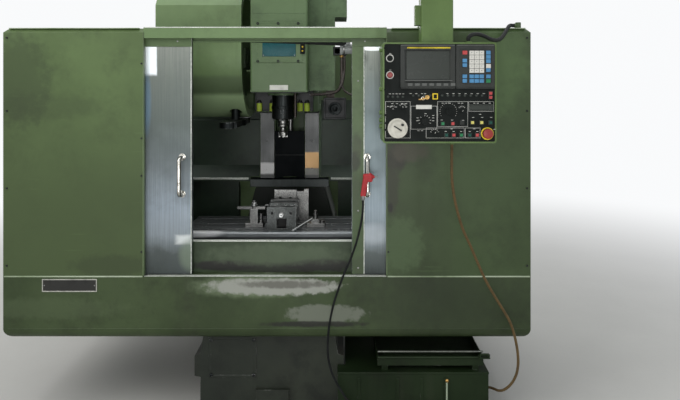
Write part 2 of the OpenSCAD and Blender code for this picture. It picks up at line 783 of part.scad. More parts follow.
// The air gun hung on the right handle: body, grip, trigger, nozzle and hook
module air_gun() {
    top = handle_z + handle_pitch / 2 - 22;
    leg_top = handle_z + handle_pitch / 2 + handle_r;
    color([0.65, 0.1, 0.08]) {
        along_y(gun_y - 11, gun_y + 11) union() {
            soft_rect(gun_x - 30, gun_x + 16, top - 76, top - 44, 8);
            soft_rect(gun_x - 34, gun_x - 10, top - 150, top - 60, 8);
        }
        along_y(gun_y - 5, gun_y + 5) polygon([[gun_x - 6, top - 76], [gun_x - 14, top - 132],
            [gun_x - 8, top - 134], [gun_x + 4, top - 76]]);
    }
    color(steel) {
        rod_x(gun_y, top - 58, gun_x + 16, gun_x + 44, 4);
        rod_z(gun_x - 22, gun_y, top - 164, top - 150, 9);
        // Hook that rests on the handle's upper leg
        block(gun_x - 3, gun_x + 3, gun_y - 3, gun_y + 3, top - 44, leg_top + 6);
        block(gun_x - 3, gun_x + 3, gun_y - 3, door_y - 20, leg_top + seat, leg_top + 6);
    }
}

table_cy = -508;
saddle_l = 500;
saddle_y = table_cy - saddle_l / 2;
saddle_half = 400;
table_low = table_z - table_t;
slide_h = 20;
// The saddle: a cast slide on the bed's ways, with the table's ways on its top
module saddle() {
    color(green) difference() {
        union() {
            along_y(saddle_y, saddle_y + saddle_l) polygon([
                [spindle_x - 290, way_z - 26], [spindle_x - 262, way_z - 26],
                [spindle_x - 262, way_z + seat], [spindle_x + 262, way_z + seat],
                [spindle_x + 262, way_z - 26], [spindle_x + 290, way_z - 26],
                [spindle_x + 290, way_z + 50], [spindle_x + saddle_half, way_z + 90],
                [spindle_x + saddle_half, table_low - slide_h],
                [spindle_x - saddle_half, table_low - slide_h],
                [spindle_x - saddle_half, way_z + 90], [spindle_x - 290, way_z + 50]]);
            for (s = [-1, 1])
                block(spindle_x - saddle_half, spindle_x + saddle_half,
                    table_cy + s * 130 - 40, table_cy + s * 130 + 40, table_low - slide_h,
                    table_low - seat);
        }
        // Channel of the table's ball screw
        block(spindle_x - saddle_half + 40, spindle_x + saddle_half - 40, table_cy - 60,
            table_cy + 60, table_low - 90, table_low + 1);
        rod_x(table_cy, screw_z_x, spindle_x - saddle_half - 1, spindle_x + saddle_half + 1,
            screw_r + 0.05);
        // The saddle's own screw runs in a tunnel through it
        rod_y(spindle_x, screw_z_y, saddle_y - 1, saddle_y + saddle_l + 1, screw_r + 0.05);
        for (s = [-1, 1])
            block(spindle_x + s * 180 - 50, spindle_x + s * 180 + 50, saddle_y + 40,
                saddle_y + saddle_l - 40, way_z - 1, way_z + 90);
    }
}
screw_r = 16;
screw_z_x = table_low - 50;
screw_z_y = way_z + 46;

// The ball screw of the saddle, between the bearing at the bed's front and its far end
module y_screw() {
    color(steel) rod_y(spindle_x, screw_z_y, motor_y + seat, guide_y - 2 - seat, screw_r);
}

// The front way cover: a roofed sheet that follows the saddle at half its travel
module way_cover() {
    color(steel) along_y(apron_y + 36, saddle_y - 4) polygon([
        [spindle_x - 310, way_z - 10], [spindle_x - 306, way_z - 10],
        [spindle_x - 306, way_z + 88], [spindle_x, way_z + 102], [spindle_x + 306, way_z + 88],
        [spindle_x + 306, way_z - 10], [spindle_x + 310, way_z - 10],
        [spindle_x + 310, way_z + 91], [spindle_x, way_z + 105.5],
        [spindle_x - 310, way_z + 91]]);
    // Webs that slide on the ways
    color(steel) for (s = [-1, 1], y = [apron_y + 40, saddle_y - 12]) along_y(y, y + 4) polygon([
        [spindle_x + s * 170, way_z + seat], [spindle_x + s * 308, way_z + seat],
        [spindle_x + s * 308, way_z + 90], [spindle_x + s * 170, way_z + 95.5]]);
}

// The machine table with its three T-slots, a gutter round it and the nut of its screw
module table() {
    y0 = table_cy - table_d / 2;
    y1 = table_cy + table_d / 2;
    x0 = spindle_x + 18 - table_l / 2;
    color(steel) difference() {
        union() {
            along_x(x0, x0 + table_l) difference() {
                polygon([[y0, table_z - 3], [y0 + 3, table_z], [y1 - 3, table_z],
                    [y1, table_z - 3], [y1, table_low + 24], [y1 - 20, table_low],
                    [y0 + 20, table_low], [y0, table_low + 24]]);
                for (k = [-1 : 1]) translate([table_cy + k * slot_pitch, table_z]) polygon([
                    [-slot_w / 2, 1], [-slot_w / 2, -18], [-slot_w / 2 - 7, -18],
                    [-slot_w / 2 - 7, -32], [slot_w / 2 + 7, -32], [slot_w / 2 + 7, -18],
                    [slot_w / 2, -18], [slot_w / 2, 1]]);
            }
            // Nut bracket reaching down into the saddle's channel
            block(spindle_x - 45, spindle_x + 45, table_cy - 40, table_cy + 40,
                screw_z_x - 26, table_low);
        }
        rod_x(table_cy, screw_z_x, spindle_x - 46, spindle_x + 46, screw_r + 0.05);
    }
}

// The drive of the table at the saddle's right end
module x_motor() {
    x = spindle_x + saddle_half;
    color(dark) {
        along_x(x + 0.3, x + 22) soft_rect(table_cy - 62, table_cy + 62, screw_z_x - 62,
            screw_z_x + 40, 12);
        along_x(x + 22, x + 190) soft_rect(table_cy - 52, table_cy + 52, screw_z_x - 56,
            screw_z_x + 36, 16);
    }
}
module x_screw() {
    color(steel) rod_x(table_cy, screw_z_x, spindle_x - saddle_half + 2,
        spindle_x + saddle_half - 1, screw_r);
}

vise_x = spindle_x + 24;
vise_y = -684;
jaw_y = vise_y + 96;
// The vise body: base with ears, tall front block with the screw's bore, fixed jaw
module vise_body() {
    w = vise_w / 2;
    base = table_z + 42;
    screw = table_z + vise_h - 38;
    color(steel) difference() {
        union() {
            along_x(vise_x - w, vise_x + w) polygon([[vise_y, table_z],
                [vise_y + vise_l, table_z], [vise_y + vise_l, table_z + vise_h],
                [vise_y + vise_l - 44, table_z + vise_h], [vise_y + vise_l - 48, base],
                [vise_y + 40, base], [vise_y + 36, table_z + vise_h],
                [vise_y, table_z + vise_h]]);
            block(vise_x - w - 22, vise_x + w + 22, vise_y + 90, vise_y + 150, table_z,
                table_z + 20);
        }
        rod_y(vise_x, screw, vise_y - 1, vise_y + 60, vise_screw_r + 0.05);
        // Square window in the front block and two dowel holes
        block(vise_x - 25, vise_x + 25, vise_y - 1, vise_y + 30, table_z + 16, table_z + 66);
        for (s = [-1, 1]) rod_y(vise_x + s * 48, screw + 6, vise_y - 1, vise_y + 14, 9);
        // Clamping slots in the ears
        for (s = [-1, 1])
            block(vise_x + s * (w + 15) - 8, vise_x + s * (w + 15) + 8, vise_y + 112,
                vise_y + 128, table_z - 1, table_z + 21);
    }
}
// The sliding jaw, guided on the base
module vise_jaw() {
    w = vise_w / 2;
    base = table_z + 42;
    color(steel) difference() {
        along_x(vise_x - w + 2, vise_x + w - 2) polygon([[jaw_y, base + seat],
            [jaw_y + 40, base + seat], [jaw_y + 40, table_z + vise_h],
            [jaw_y + 12, table_z + vise_h], [jaw_y, table_z + vise_h - 22]]);
        rod_y(vise_x, table_z + vise_h - 38, jaw_y - 1, jaw_y + 41, vise_screw_r + 0.05);
    }
}
// The vise screw with its square end for the crank
module vise_screw() {
    screw = table_z + vise_h - 38;
    color(steel) {
        rod_y(vise_x, screw, vise_y - 14, vise_y + vise_l - 50, vise_screw_r);
        block(vise_x - 8, vise_x + 8, vise_y - 30, vise_y - 13, screw - 8, screw + 8);
    }
}

// One strap clamp: base plate, step block, bolt with nut
module strap_clamp(x, y, w, h) {
    translate([x, y, table_z]) {
        along_z(seat, 20) soft_rect(-w / 2, w / 2, -28, 28, 6);
        along_x(-22, 18) polygon([[-20, 20], [20, 20], [20, h * 0.7], [8, h * 0.7], [8, h],
            [-20, h]]);
        rod_z(34, 0, 20, h * 0.72, 8);
        rod_z(34, 0, 20, 32, 14);
        rod_z(-2, -6, h, h + 26, 13);
        rod_z(-2, -6, h + 26, h + 44, 8);
    }
}
module table_clamps() {
    color(steel) {
        strap_clamp(-112, -560, 100, 92);
        // Bar laid across the clamp
        along_x(-200, -56) soft_rect(-576, -556, table_z + 90, table_z + 106, 3);
        strap_clamp(212, -560, 104, 40);
    }
}

// The two upright plates behind the vise, one with a notch in its corner
module angle_plate() {
    color(steel) {
        difference() {
            along_y(-420, -400) polygon([[-22, table_z + seat], [100, table_z + seat],
                [100, table_z + 168], [-22, table_z + 168]]);
            for (z = [60, 120], x = [10, 66]) rod_y(x, table_z + z, -421, -399, 9);
        }
        along_y(-420, -400) polygon([[104, table_z + seat], [166, table_z + seat],
            [166, table_z + 172], [142, table_z + 172], [142, table_z + 160],
            [104, table_z + 160]]);
        along_z(table_z + seat, table_z + 18) soft_rect(-22, 166, -399.7, -379, 6);
    }
}

head_l = spindle_x - head_w / 2;
head_r = spindle_x + head_w / 2;
cover_y = spin_y - head_reach;
rail_y = guide_y - rail_t;
nose_top = 1543;
// The head casting: carriage round the rails, body with spindle bore, wide top box
module head() {
    top = head_z + head_h;
    color(green) difference() {
        union() {
            // Carriage with keepers at both rails
            along_z(1444, 1900) polygon([[spindle_x - guide_half - 14, guide_y - 3],
                [spindle_x - guide_half - 0.5, guide_y - 3],
                [spindle_x - guide_half - 0.5, rail_y - seat],
                [spindle_x + guide_half + 0.5, rail_y - seat],
                [spindle_x + guide_half + 0.5, guide_y - 3],
                [spindle_x + guide_half + 14, guide_y - 3],
                [spindle_x + guide_half + 14, rail_y - 90], [spindle_x + 190, -180],
                [spindle_x + 160, -262], [spindle_x - 160, -262],
                [spindle_x - 190, -180], [spindle_x - guide_half - 14, rail_y - 90]]);
            // Body over the spindle
            along_z(head_z + 10, top - 60) soft_rect(spindle_x - 112, spindle_x + 112,
                cover_y + 26, -200, 20);
            rod_z(spindle_x, spin_y, nose_top, head_z + 12, 86);
            // Box on the right, wider at its top
            block(head_r + seat, 312, -450, -260, head_z + 4, top - 60);
            block(head_r + seat, 378, -450, -200, 1972, top - 60);
            block(spindle_x + 100, 290, spin_y + 42, -200, head_z + 4, top - 60);
        }
        rod_z(spindle_x, spin_y, nose_top - 1, top, nose_r - 14 + 0.05);
        // Ribs' pockets in the carriage's flanks
        for (s = [-1, 1], z = [1480, 1690])
            translate([spindle_x + s * 209, -60, z]) along_x(-30, 30) soft_rect(0, 120, 0, 160, 20);
    }
    // Nut of the head's ball screw
    color(steel) difference() {
        block(spindle_x - 60, spindle_x + 60, rail_y - 6, screw_y_z + 36, 1600, 1690);
        rod_z(spindle_x, screw_y_z, 1599, 1691, screw_r + 0.05);
    }
}
screw_y_z = guide_y + 40;

// The head's front cover: a folded sheet hood with side flanks and a step above
module head_cover() {
    top = head_z + head_h;
    t = 3;
    color(green) {
        difference() {
            along_z(head_z, top) soft_rect(head_l, head_r, cover_y, spin_y + 40, 10);
            along_z(head_z - 1, top - t) soft_rect(head_l + t, head_r - t, cover_y + t,
                spin_y + 50, 8);
            // Joint lines of the removable plates
            for (z = [1716, 1936, 1976])
                block(head_l - 1, head_r + 1, cover_y - 1, cover_y + 1, z, z + 2);
        }
    }
    // Raised plate on the cover
    color([0.1, 0.36, 0.4]) block(head_l + 63, head_r - 61, cover_y - 2, cover_y,
        1750, 1837);
    color(steel) for (x = [head_l + 40, spindle_x - 4, head_r - 50], z = [1726, 1925])
        rod_y(x, z, cover_y - 5, cover_y, 6);
}

// The spindle's drive on top of the head: a finned motor with its fan cowl
module spindle_motor() {
    z0 = head_z + head_h - 60;
    color(dark) difference() {
        union() {
            rod_z(spindle_x, -300, z0 + 60 + seat, z0 + 76, 100);
            rod_z(spindle_x, -300, z0 + 76, z0 + 290, 86);
            for (k = [0 : 23]) translate([spindle_x, -300, z0 + 90]) rotate([0, 0, k * 15])
                translate([84, -2, 0]) cube([10, 4, 180]);
            rod_z(spindle_x, -300, z0 + 276, z0 + 330, 98);
        }
        rod_z(spindle_x, -300, z0 + 300, z0 + 331, 90);
    }
    color(dark) rod_z(spindle_x, -300, z0 + 299.7, z0 + 316, 30);
}

// Coolant pipes on the head: two bent pipes from their block, and the straight nozzle
module coolant_pipes() {
    color(dark) block(305, 376, -482, -450.3, 1764, 1806);
    color(steel) {
        bent_pipe([[350, -466, 1768], [350, -466, 1700], [350, -466, 1640], [344, -466, 1596],
            [326, -466, 1568], [292, -464, 1556], [250, -462, 1551], [210, -460, 1549],
            [176, -456, 1547]], 9);
        bent_pipe([[364, -470, 1768], [365, -470, 1700], [360, -472, 1640], [352, -476, 1600],
            [364, -478, 1570], [390, -476, 1552], [412, -474, 1545]], 6);
        rod_z(spindle_x + 74, spin_y - 70, 1425, head_z + 10 - seat, 8);
        rod_z(spindle_x + 74, spin_y - 70, 1418, 1425, 5);
    }
    color([0.45, 0.6, 0.1]) for (x = [-142, -68, 92, 132])
        rod_z(spindle_x + x, -262 - 15 - seat, 1446, 1500, 15);
    color(dark) {
        block(252, 372, -430, -330, 1414, 1528);
        rod_y(312, 1470, -444, -430, 34);
        block(262, 308, -360, -330, 1527, head_z + 4 - seat);
    }
}

// The ball screw of the head, in the slot of the column
module z_screw() {
    color(steel) rod_z(spindle_x, screw_y_z, 1010 + seat, column_h + 60 - seat, screw_r);
}

// The spindle: nose with flange and drive keys, and its shaft up into the head
module spindle() {
    color(steel) difference() {
        union() {
            rod_z(spindle_x, spin_y, nose_z + 6, nose_top - 0.3, nose_r);
            translate([spindle_x, spin_y, nose_z]) cylinder(r1 = nose_r - 6, r2 = nose_r,
                h = 6, $fn = fine);
            rod_z(spindle_x, spin_y, nose_top - 1, head_z + 420, nose_r - 14);
        }
        translate([spindle_x, spin_y, nose_z - 1]) cylinder(r1 = 35.3, r2 = 20.3, h = 100,
            $fn = fine);
        for (k = [0, 90]) translate([spindle_x, spin_y, nose_z + 34]) rotate([0, 0, k])
            for (s = [-1, 1]) translate([s * nose_r - 6, -9, 0]) cube([12, 18, 22]);
    }
    color(steel) for (s = [-1, 1])
        block(spindle_x - 8, spindle_x + 8, spin_y + s * 46 - 8, spin_y + s * 46 + 8,
            nose_z - 8, nose_z + 1);
}

// The milling cutter in its holder: taper, gripper flange, body with pockets and inserts
module cutter() {
    tip = nose_z - tool_l;
    color(steel) difference() {
        translate([spindle_x, spin_y, 0]) rotate_extrude($fn = fine) polygon([[0, tip + 2],
            [tool_r - 6, tip + 2], [tool_r, tip + 10], [tool_r, tip + 30], [tool_r - 7, tip + 38],
            [tool_r - 7, nose_z - 46], [31, nose_z - 40], [31, nose_z - 30],
            [26, nose_z - 26], [31, nose_z - 22], [31, nose_z - 10], [34, nose_z - 8],
            [34, nose_z + 1.5], [20, nose_z + 95], [0, nose_z + 95]]);
        for (k = [0 : 3]) translate([spindle_x, spin_y, tip]) rotate([0, 0, k * 90])
            translate([tool_r - 9, 0, -1]) cube([14, 12, 26]);
    }
    color([0.75, 0.6, 0.25]) for (k = [0 : 3]) translate([spindle_x, spin_y, tip])
        rotate([0, 0, k * 90]) translate([tool_r - 8.5, -0.3, 0]) cube([9, 5, 14]);
}

tray_l = 515;
tray_r = 1010;
tray_y = wing_y + 12;
tray_back = -520;
// The chip tray: an open sheet drawer with a rolled rim and a loop handle
module chip_tray() {
    color(green) {
        difference() {
            block(tray_l, tray_r, tray_y, tray_back, 290, 330);
            block(tray_l + sheet, tray_r - sheet, tray_y + sheet, tray_back - sheet,
                290 + sheet, 331);
        }
        rod_x(tray_y - 1, 328, tray_l, tray_r, 6);
    }
    color(chrome) {
        rod_x(tray_y - 24, 352, tray_r - 20, tray_r + 20, 5);
        for (x = [tray_r - 20, tray_r + 20]) rod_z(x, tray_y - 24, 338, 352, 5);
        block(tray_r - 25, tray_r + 25, tray_y - 29, tray_y - 2, 333, 338);
    }
}

panel_x = 520;
panel_y = -1232;
panel_top = panel_z + panel_h;
duct_x = 756;
duct_y = -1150;
plate_t = 8;
// Places on the panel: u to the right of its left edge, v down from its upper edge
function pu(u) = panel_x + u;
function pv(v) = panel_top - 8.6 - 0.9435 * v;

// The panel's case with its back, its duct up to the swivel and the cable sockets
module panel_case() {
    rim = 7;
    color(green) {
        difference() {
            along_y(panel_y - 2, panel_y + panel_d) soft_rect(panel_x, panel_x + panel_w,
                panel_z, panel_top, 10);
            along_y(panel_y - 3, panel_y + panel_d - sheet) soft_rect(panel_x + rim,
                panel_x + panel_w - rim, panel_z + rim, panel_top - rim, 6);
            for (k = [0 : 6]) block(panel_x + 120, panel_x + 200, panel_y + panel_d - 10,
                panel_y + panel_d + 1, panel_z + 120 + k * 18, panel_z + 128 + k * 18);
        }
        difference() {
            along_z(panel_top, 2160) soft_rect(duct_x - 69, duct_x + 69, duct_y - 45,
                duct_y + 45, 8);
            along_z(panel_top + 4, 2156) soft_rect(duct_x - 65, duct_x + 65, duct_y - 41,
                duct_y + 41, 6);
        }
        rod_z(duct_x, duct_y, 2160, 2196 - seat, 40);
    }
    color(dark) {
        rod_z(898, duct_y, panel_top, panel_top + 10, 14);
        rod_z(826, duct_y, panel_z - 12, panel_z, 10);
        block(duct_x - 92, duct_x - 69, duct_y - 20, duct_y + 20, 1858, 1944);
        for (v = [24, 200, 306, 340, 368])
            rod_x(panel_y + 40, pv(v), panel_x - 12, panel_x, 9);
    }
}

// One key of a keypad, with softened edges
module key(u0, u1, v0, v1, h, paint) {
    color(paint) along_y(panel_y - h, panel_y) soft_rect(pu(u0), pu(u1), pv(v1), pv(v0), 2);
}

// The panel's front plate with the display unit's frame, keys, lamps and switches
module panel_front() {
    rim = 7.3;
    color(dark) difference() {
        union() {
            along_y(panel_y, panel_y + plate_t) soft_rect(panel_x + rim, panel_x + panel_w - rim,
                panel_z + rim, panel_top - rim, 6);
            // Frame of the display and keyboard unit
            along_y(panel_y - 5, panel_y) soft_rect(pu(72), pu(471), pv(201), pv(8), 5);
            // Raised fields round the hand wheel, the switches and the dial
            along_y(panel_y - 2, panel_y) soft_rect(pu(10), pu(116), pv(416), pv(256), 6);
            along_y(panel_y - 2, panel_y) soft_rect(pu(231), pu(361), pv(369), pv(256), 4);
        }
        along_y(panel_y - 6, panel_y + 4) soft_rect(pu(96), pu(293), pv(159), pv(27), 8);
        rod_y(pu(62), pv(374), panel_y - 3, panel_y + plate_t + 1, 12.05);
        rod_y(pu(30), pv(62), panel_y - 1, panel_y + plate_t + 1, 12.05);
        rod_y(pu(30), pv(137), panel_y - 1, panel_y + plate_t + 1, 12.05);
        rod_y(pu(440), pv(398), panel_y - 1, panel_y + plate_t + 1, 10.05);
        rod_y(pu(177), pv(343), panel_y - 1, panel_y + plate_t + 1, 8.05);
        rod_y(pu(276), pv(299), panel_y - 3, panel_y + plate_t + 1, 8.05);
        // Window of the display lamps
        along_y(panel_y - 1, panel_y + 3) soft_rect(pu(363), pu(468), pv(301), pv(257), 3);
    }
    blue = [0.25, 0.36, 0.5];
    pale = [0.75, 0.76, 0.72];
    for (k = [0 : 6]) key(104 + k * 30, 124 + k * 30, 172, 184, 8, pale);
    key(334, 353, 28, 44, 9, [0.6, 0.1, 0.08]);
    for (v = [64, 84, 134, 154]) key(334, 353, v, v + 18, 9, blue);
    for (r = [0 : 4], c = [0 : 2]) key(363 + c * 21, 382 + c * 21, 28 + r * 20, 46 + r * 20, 9, pale);
    for (r = [0 : 1], c = [0 : 2]) key(363 + c * 21, 382 + c * 21, 134 + r * 20, 152 + r * 20, 9, blue);
    for (v = [28, 47, 66]) key(433, 452, v, v + 17, 9, blue);
    key(433, 452, 87, 103, 9, pale);
    for (v = [106, 134]) key(433, 452, v, v + 17, 9, blue);
    key(433, 452, 154, 171, 9, [0.1, 0.4, 0.2]);
    // Rings round the push buttons
    color(chrome) for (v = [62, 137]) difference() {
        rod_y(pu(30), pv(v), panel_y - 4, panel_y, 18);
        rod_y(pu(30), pv(v), panel_y - 5, panel_y + 1, 12.05);
    }
    color([0.75, 0.6, 0.1]) difference() {
        rod_y(pu(440), pv(398), panel_y - 3, panel_y, 24);
        rod_y(pu(440), pv(398), panel_y - 4, panel_y + 1, 10.05);
    }
    // Toggle switches with their collars
    color(chrome) for (u = [128, 152, 176, 200, 250, 274, 298, 322, 346, 370, 394, 418]) {
        rod_y(pu(u), pv(228), panel_y - 4, panel_y, 5);
        rod_y(pu(u), pv(226), panel_y - 16, panel_y - 4, 2.2);
    }
    color([0.7, 0.6, 0.1]) along_y(panel_y - 8, panel_y) soft_rect(pu(211), pu(229), pv(244), pv(226), 3);
    for (v = [217, 236]) key(450, 466, v, v + 13, 7, [0.6, 0.1, 0.08]);
    key(245, 259, 346, 360, 8, [0.1, 0.45, 0.2]);
    key(288, 302, 346, 360, 8, [0.6, 0.1, 0.08]);
    for (k = [0 : 2]) key(372 + k * 39, 388 + k * 39, 340, 356, 8, [0.7, 0.6, 0.1]);
    for (u = [269, 300, 331, 368, 399]) color(dark) rod_y(pu(u), pv(404), panel_y - 9, panel_y, 8);
    color(chrome) {
        for (p = [[42, 289], [84, 281], [218, 395]])
            rod_y(pu(p[0]), pv(p[1]), panel_y - 12, panel_y, 8);
        difference() {
            rod_y(pu(276), pv(299), panel_y - 3, panel_y - 1.5, 34);
            rod_y(pu(276), pv(299), panel_y - 4, panel_y, 8.05);
        }
    }
}

// The display's glass, slightly crowned
module screen() {
    color([0.12, 0.16, 0.15]) difference() {
        along_y(panel_y - 2, panel_y + 4) soft_rect(pu(97), pu(292), pv(158), pv(28), 8);
        for (u = [97, 292]) translate([pu(u), panel_y - 2, 0]) rotate([0, 0, 45])
            translate([-2, -2, panel_z]) cube([4, 4, panel_h]);
    }
}

// The hand wheel: a dished disc with a rim groove, its crank knob and its axle
module hand_wheel() {
    translate([pu(62), panel_y, pv(374)]) {
        color([0.85, 0.85, 0.8]) rotate([90, 0, 0]) rotate_extrude($fn = 96) polygon([[0, 3],
            [wheel_r - 4, 3], [wheel_r, 6], [wheel_r, 13], [wheel_r - 2, 15],
            [wheel_r - 8, 15], [wheel_r - 10, 13], [14, 13], [12, 16], [0, 16]]);
        color(dark) rod_y(18, 16, -34, -13, 7);
        color(steel) rod_y(0, 0, -3, plate_t + 6, 12);
    }
}

// A round push button with its stem through the plate
module push(u, v, r, stem, h, paint) {
    translate([pu(u), panel_y, pv(v)]) {
        color(paint) rotate([90, 0, 0]) rotate_extrude($fn = fine) polygon([[0, 7],
            [r - 2, 7], [r, 8], [r, h - 2], [r - 2, h], [0, h]]);
        color(steel) rod_y(0, 0, -8, plate_t + 4, stem);
    }
}
module on_button() { push(30, 62, 11.5, 12, 12, [0.8, 0.8, 0.75]); }
module off_button() { push(30, 137, 11.5, 12, 12, [0.65, 0.1, 0.08]); }
module stop_button() { push(440, 398, stop_r, 10, 22, [0.75, 0.08, 0.06]); }

// A turning switch knob: skirt, fluted grip and pointer bar
module knob(u, v, r) {
    translate([pu(u), panel_y, pv(v)]) {
        color(dark) rotate([90, 0, 0]) difference() {
            union() {
                translate([0, 0, 3.3]) cylinder(r = r + 3, h = 3, $fn = fine);
                translate([0, 0, 6]) cylinder(r = r, h = 14, $fn = fine);
            }
            for (k = [0 : 11]) rotate([0, 0, k * 30]) translate([r + 1.4, 0, 7])
                cylinder(r = 3, h = 20, $fn = 16);
        }
        color([0.8, 0.8, 0.75]) block(-1.5, 1.5, -21.5, -19.8, 0, r - 3);
        color(steel) rod_y(0, 0, -4, plate_t + 4, 8);
    }
}
module mode_knob() { knob(177, 343, 15); }
module feed_knob() { knob(276, 299, 13); }

// Routes of the conduit and the two hoses
conduit_route = [[898, -1150, 1790.2], [898, -1150, 1796], [898, -1150, 1804], [906, -1147, 1814], [922, -1140, 1821],
    [950, -1124, 1822], [980, -1105, 1815], [1008, -1086, 1805], [1036, -1064, 1801],
    [1064, -1036, 1808], [1090, -1006, 1830], [1112, -974, 1856], [1130, -942, 1874],
    [1143, -922, 1881], [1153, -920, 1881], [1161.7, -920, 1881]];
panel_hose_route = [[826, -1150, 1342.8], [826, -1150, 1330], [826, -1150, 1312],
    [826, -1148, 1260],
    [828, -1142, 1190], [840, -1132, 1110], [860, -1120, 1030], [885, -1106, 958],
    [919, -1090, 887], [955, -1076, 806], [992, -1064, 727], [1034, -1052, 654],
    [1076, -1042, 586], [1106, -1034, 536], [1126, -1027, 486], [1142, -1021, 426],
    [1151, -1018, 368], [1152, -1015, 318], [1144, -1010, 272], [1124, -1000, 228],
    [1098, -982, 194], [1082, -950, 174], [1070, -920, 166], [1056, -902, 164],
    [1046, -898, 164], [1038, -898, 164], [1030.2, -898, 164]];
air_hose_route = [[445, -1016, 1075.8], [445, -1016, 1064], [445, -1016, 1046],
    [442, -1016, 1006],
    [432, -1016, 950], [414, -1017, 880], [390, -1018, 812], [362, -1019, 748],
    [336, -1019, 680], [312, -1019, 606], [295, -1018, 528], [286, -1017, 456],
    [284, -1016, 388], [292, -1015, 326], [308, -1014, 274], [332, -1012, 226],
    [358, -1010, 182], [380, -1006, 148], [395, -1000, 126], [400, -988, 114],
    [400, -978, 110], [400, -971, 110], [400, -964.3, 110]];

function unit(v) = v / norm(v);
function blend(a, b, c, d, t) = 0.5 * (2 * b + (c - a) * t + (2 * a - 5 * b + 4 * c - d) * t * t
    + (3 * b - a - 3 * c + d) * t * t * t);
function fair(p, n) = concat([for (i = [0 : len(p) - 2], k = [0 : n - 1])
    blend(p[max(i - 1, 0)], p[i], p[i + 1], p[min(i + 2, len(p) - 1)], k / n)],
    [p[len(p) - 1]]);
function heading(p, i) = unit(p[min(i + 1, len(p) - 1)] - p[max(i - 1, 0)]);
function square_to(n, t) = unit(n - (n * t) * t);
function sides(p, start, i = 0, done = []) = i == len(p) ? done : sides(p, start, i + 1,
    concat(done, [square_to(i == 0 ? start : done[i - 1], heading(p, i))]));

// A round tube swept along a route
module hose(route, r, rings) {
    p = fair(route, rings);
    n = sides(p, [1, 0.2, 0.1]);
    m = 10;
    points = [for (i = [0 : len(p) - 1], j = [0 : m - 1])
        p[i] + r * (cos(j * 360 / m) * n[i] + sin(j * 360 / m) * cross(heading(p, i), n[i]))];
    walls = [for (i = [0 : len(p) - 2], j = [0 : m - 1])
        [i * m + j, (i + 1) * m + j, (i + 1) * m + (j + 1) % m, i * m + (j + 1) % m]];
    polyhedron(points, concat([[for (j = [0 : m - 1]) j]], walls,
        [[for (j = [m - 1 : -1 : 0]) (len(p) - 1) * m + j]]));
}
module bent_pipe(route, r) { hose(route, r, 3); }
module conduit() { color(dark) hose(conduit_route, 9, 2); }
module panel_hose() { color([0.3, 0.2, 0.14]) hose(panel_hose_route, 6, 3); }
module air_hose() { color(dark) hose(air_hose_route, 5, 3); }

bed();
feet();
column();
guide_rails();
rail_cover();
chip_pan();
left_guard();
right_guard();
header();
apron();
rear_guard();
cabinet();
tank();
pump();
magazine_frame();
magazine_cover();
changer_unit();
z_motor();
y_motor();
pendant_post();
work_lamp();
left_door();
left_handle();
right_door();
right_handle();
air_gun();
saddle();
y_screw();
way_cover();
table();
x_motor();
x_screw();
vise_body();
vise_jaw();
vise_screw();
table_clamps();
angle_plate();
head();
head_cover();
spindle_motor();
coolant_pipes();
z_screw();
spindle();
cutter();
tool_drum();
changer_arm();
cabinet_door();
chip_tray();
panel_case();
panel_front();
screen();
hand_wheel();
stop_button();
on_button();
off_button();
mode_knob();
feed_knob();
conduit();
panel_hose();
air_hose();
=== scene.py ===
import math
import random

import bmesh
import bpy
from mathutils import Matrix, Vector


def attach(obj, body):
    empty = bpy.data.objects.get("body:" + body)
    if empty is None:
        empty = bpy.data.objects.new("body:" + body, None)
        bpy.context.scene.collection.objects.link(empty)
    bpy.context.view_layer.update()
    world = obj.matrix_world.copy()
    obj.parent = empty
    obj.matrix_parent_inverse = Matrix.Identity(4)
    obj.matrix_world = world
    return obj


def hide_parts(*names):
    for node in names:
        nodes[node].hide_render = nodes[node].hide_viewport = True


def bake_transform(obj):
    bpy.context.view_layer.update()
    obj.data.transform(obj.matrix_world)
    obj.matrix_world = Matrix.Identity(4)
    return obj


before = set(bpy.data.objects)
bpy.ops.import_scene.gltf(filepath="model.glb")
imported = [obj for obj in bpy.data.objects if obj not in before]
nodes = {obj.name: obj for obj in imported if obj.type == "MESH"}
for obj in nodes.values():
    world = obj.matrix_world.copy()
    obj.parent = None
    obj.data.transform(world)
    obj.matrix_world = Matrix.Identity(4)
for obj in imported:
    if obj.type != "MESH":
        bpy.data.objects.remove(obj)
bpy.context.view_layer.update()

bpy.ops.object.select_all(action="DESELECT")

# The camera stands where the picture was taken from
camera = {"place": (0.34, -3.83, 1.6), "lens": 32.66, "shiftY": -0.169}
bpy.ops.object.camera_add(location=camera["place"], rotation=(math.pi / 2, 0, 0))
eye = bpy.context.object
eye.data.lens = camera["lens"]
eye.data.shift_y = camera["shiftY"]
eye.data.clip_end = 60
bpy.context.scene.camera = eye
bpy.context.scene.view_settings.view_transform = "Standard"


# One socket of a material, with which sums are written as on paper
class Wire:
    def __init__(self, finish, socket):
        self.finish, self.socket = finish, socket

    def math(self, operation, *others):
        return self.finish.node("ShaderNodeMath", {"operation": operation}, self, *others)

    def back(self, operation, other):
        return self.finish.node("ShaderNodeMath", {"operation": operation}, other, self)

    def __add__(self, other): return self.math("ADD", other)
    def __radd__(self, other): return self.math("ADD", other)
    def __sub__(self, other): return self.math("SUBTRACT", other)
    def __rsub__(self, other): return self.back("SUBTRACT", other)
    def __mul__(self, other): return self.math("MULTIPLY", other)
    def __rmul__(self, other): return self.math("MULTIPLY", other)
    def __truediv__(self, other): return self.math("DIVIDE", other)
    def __or__(self, other): return self.math("MAXIMUM", other)


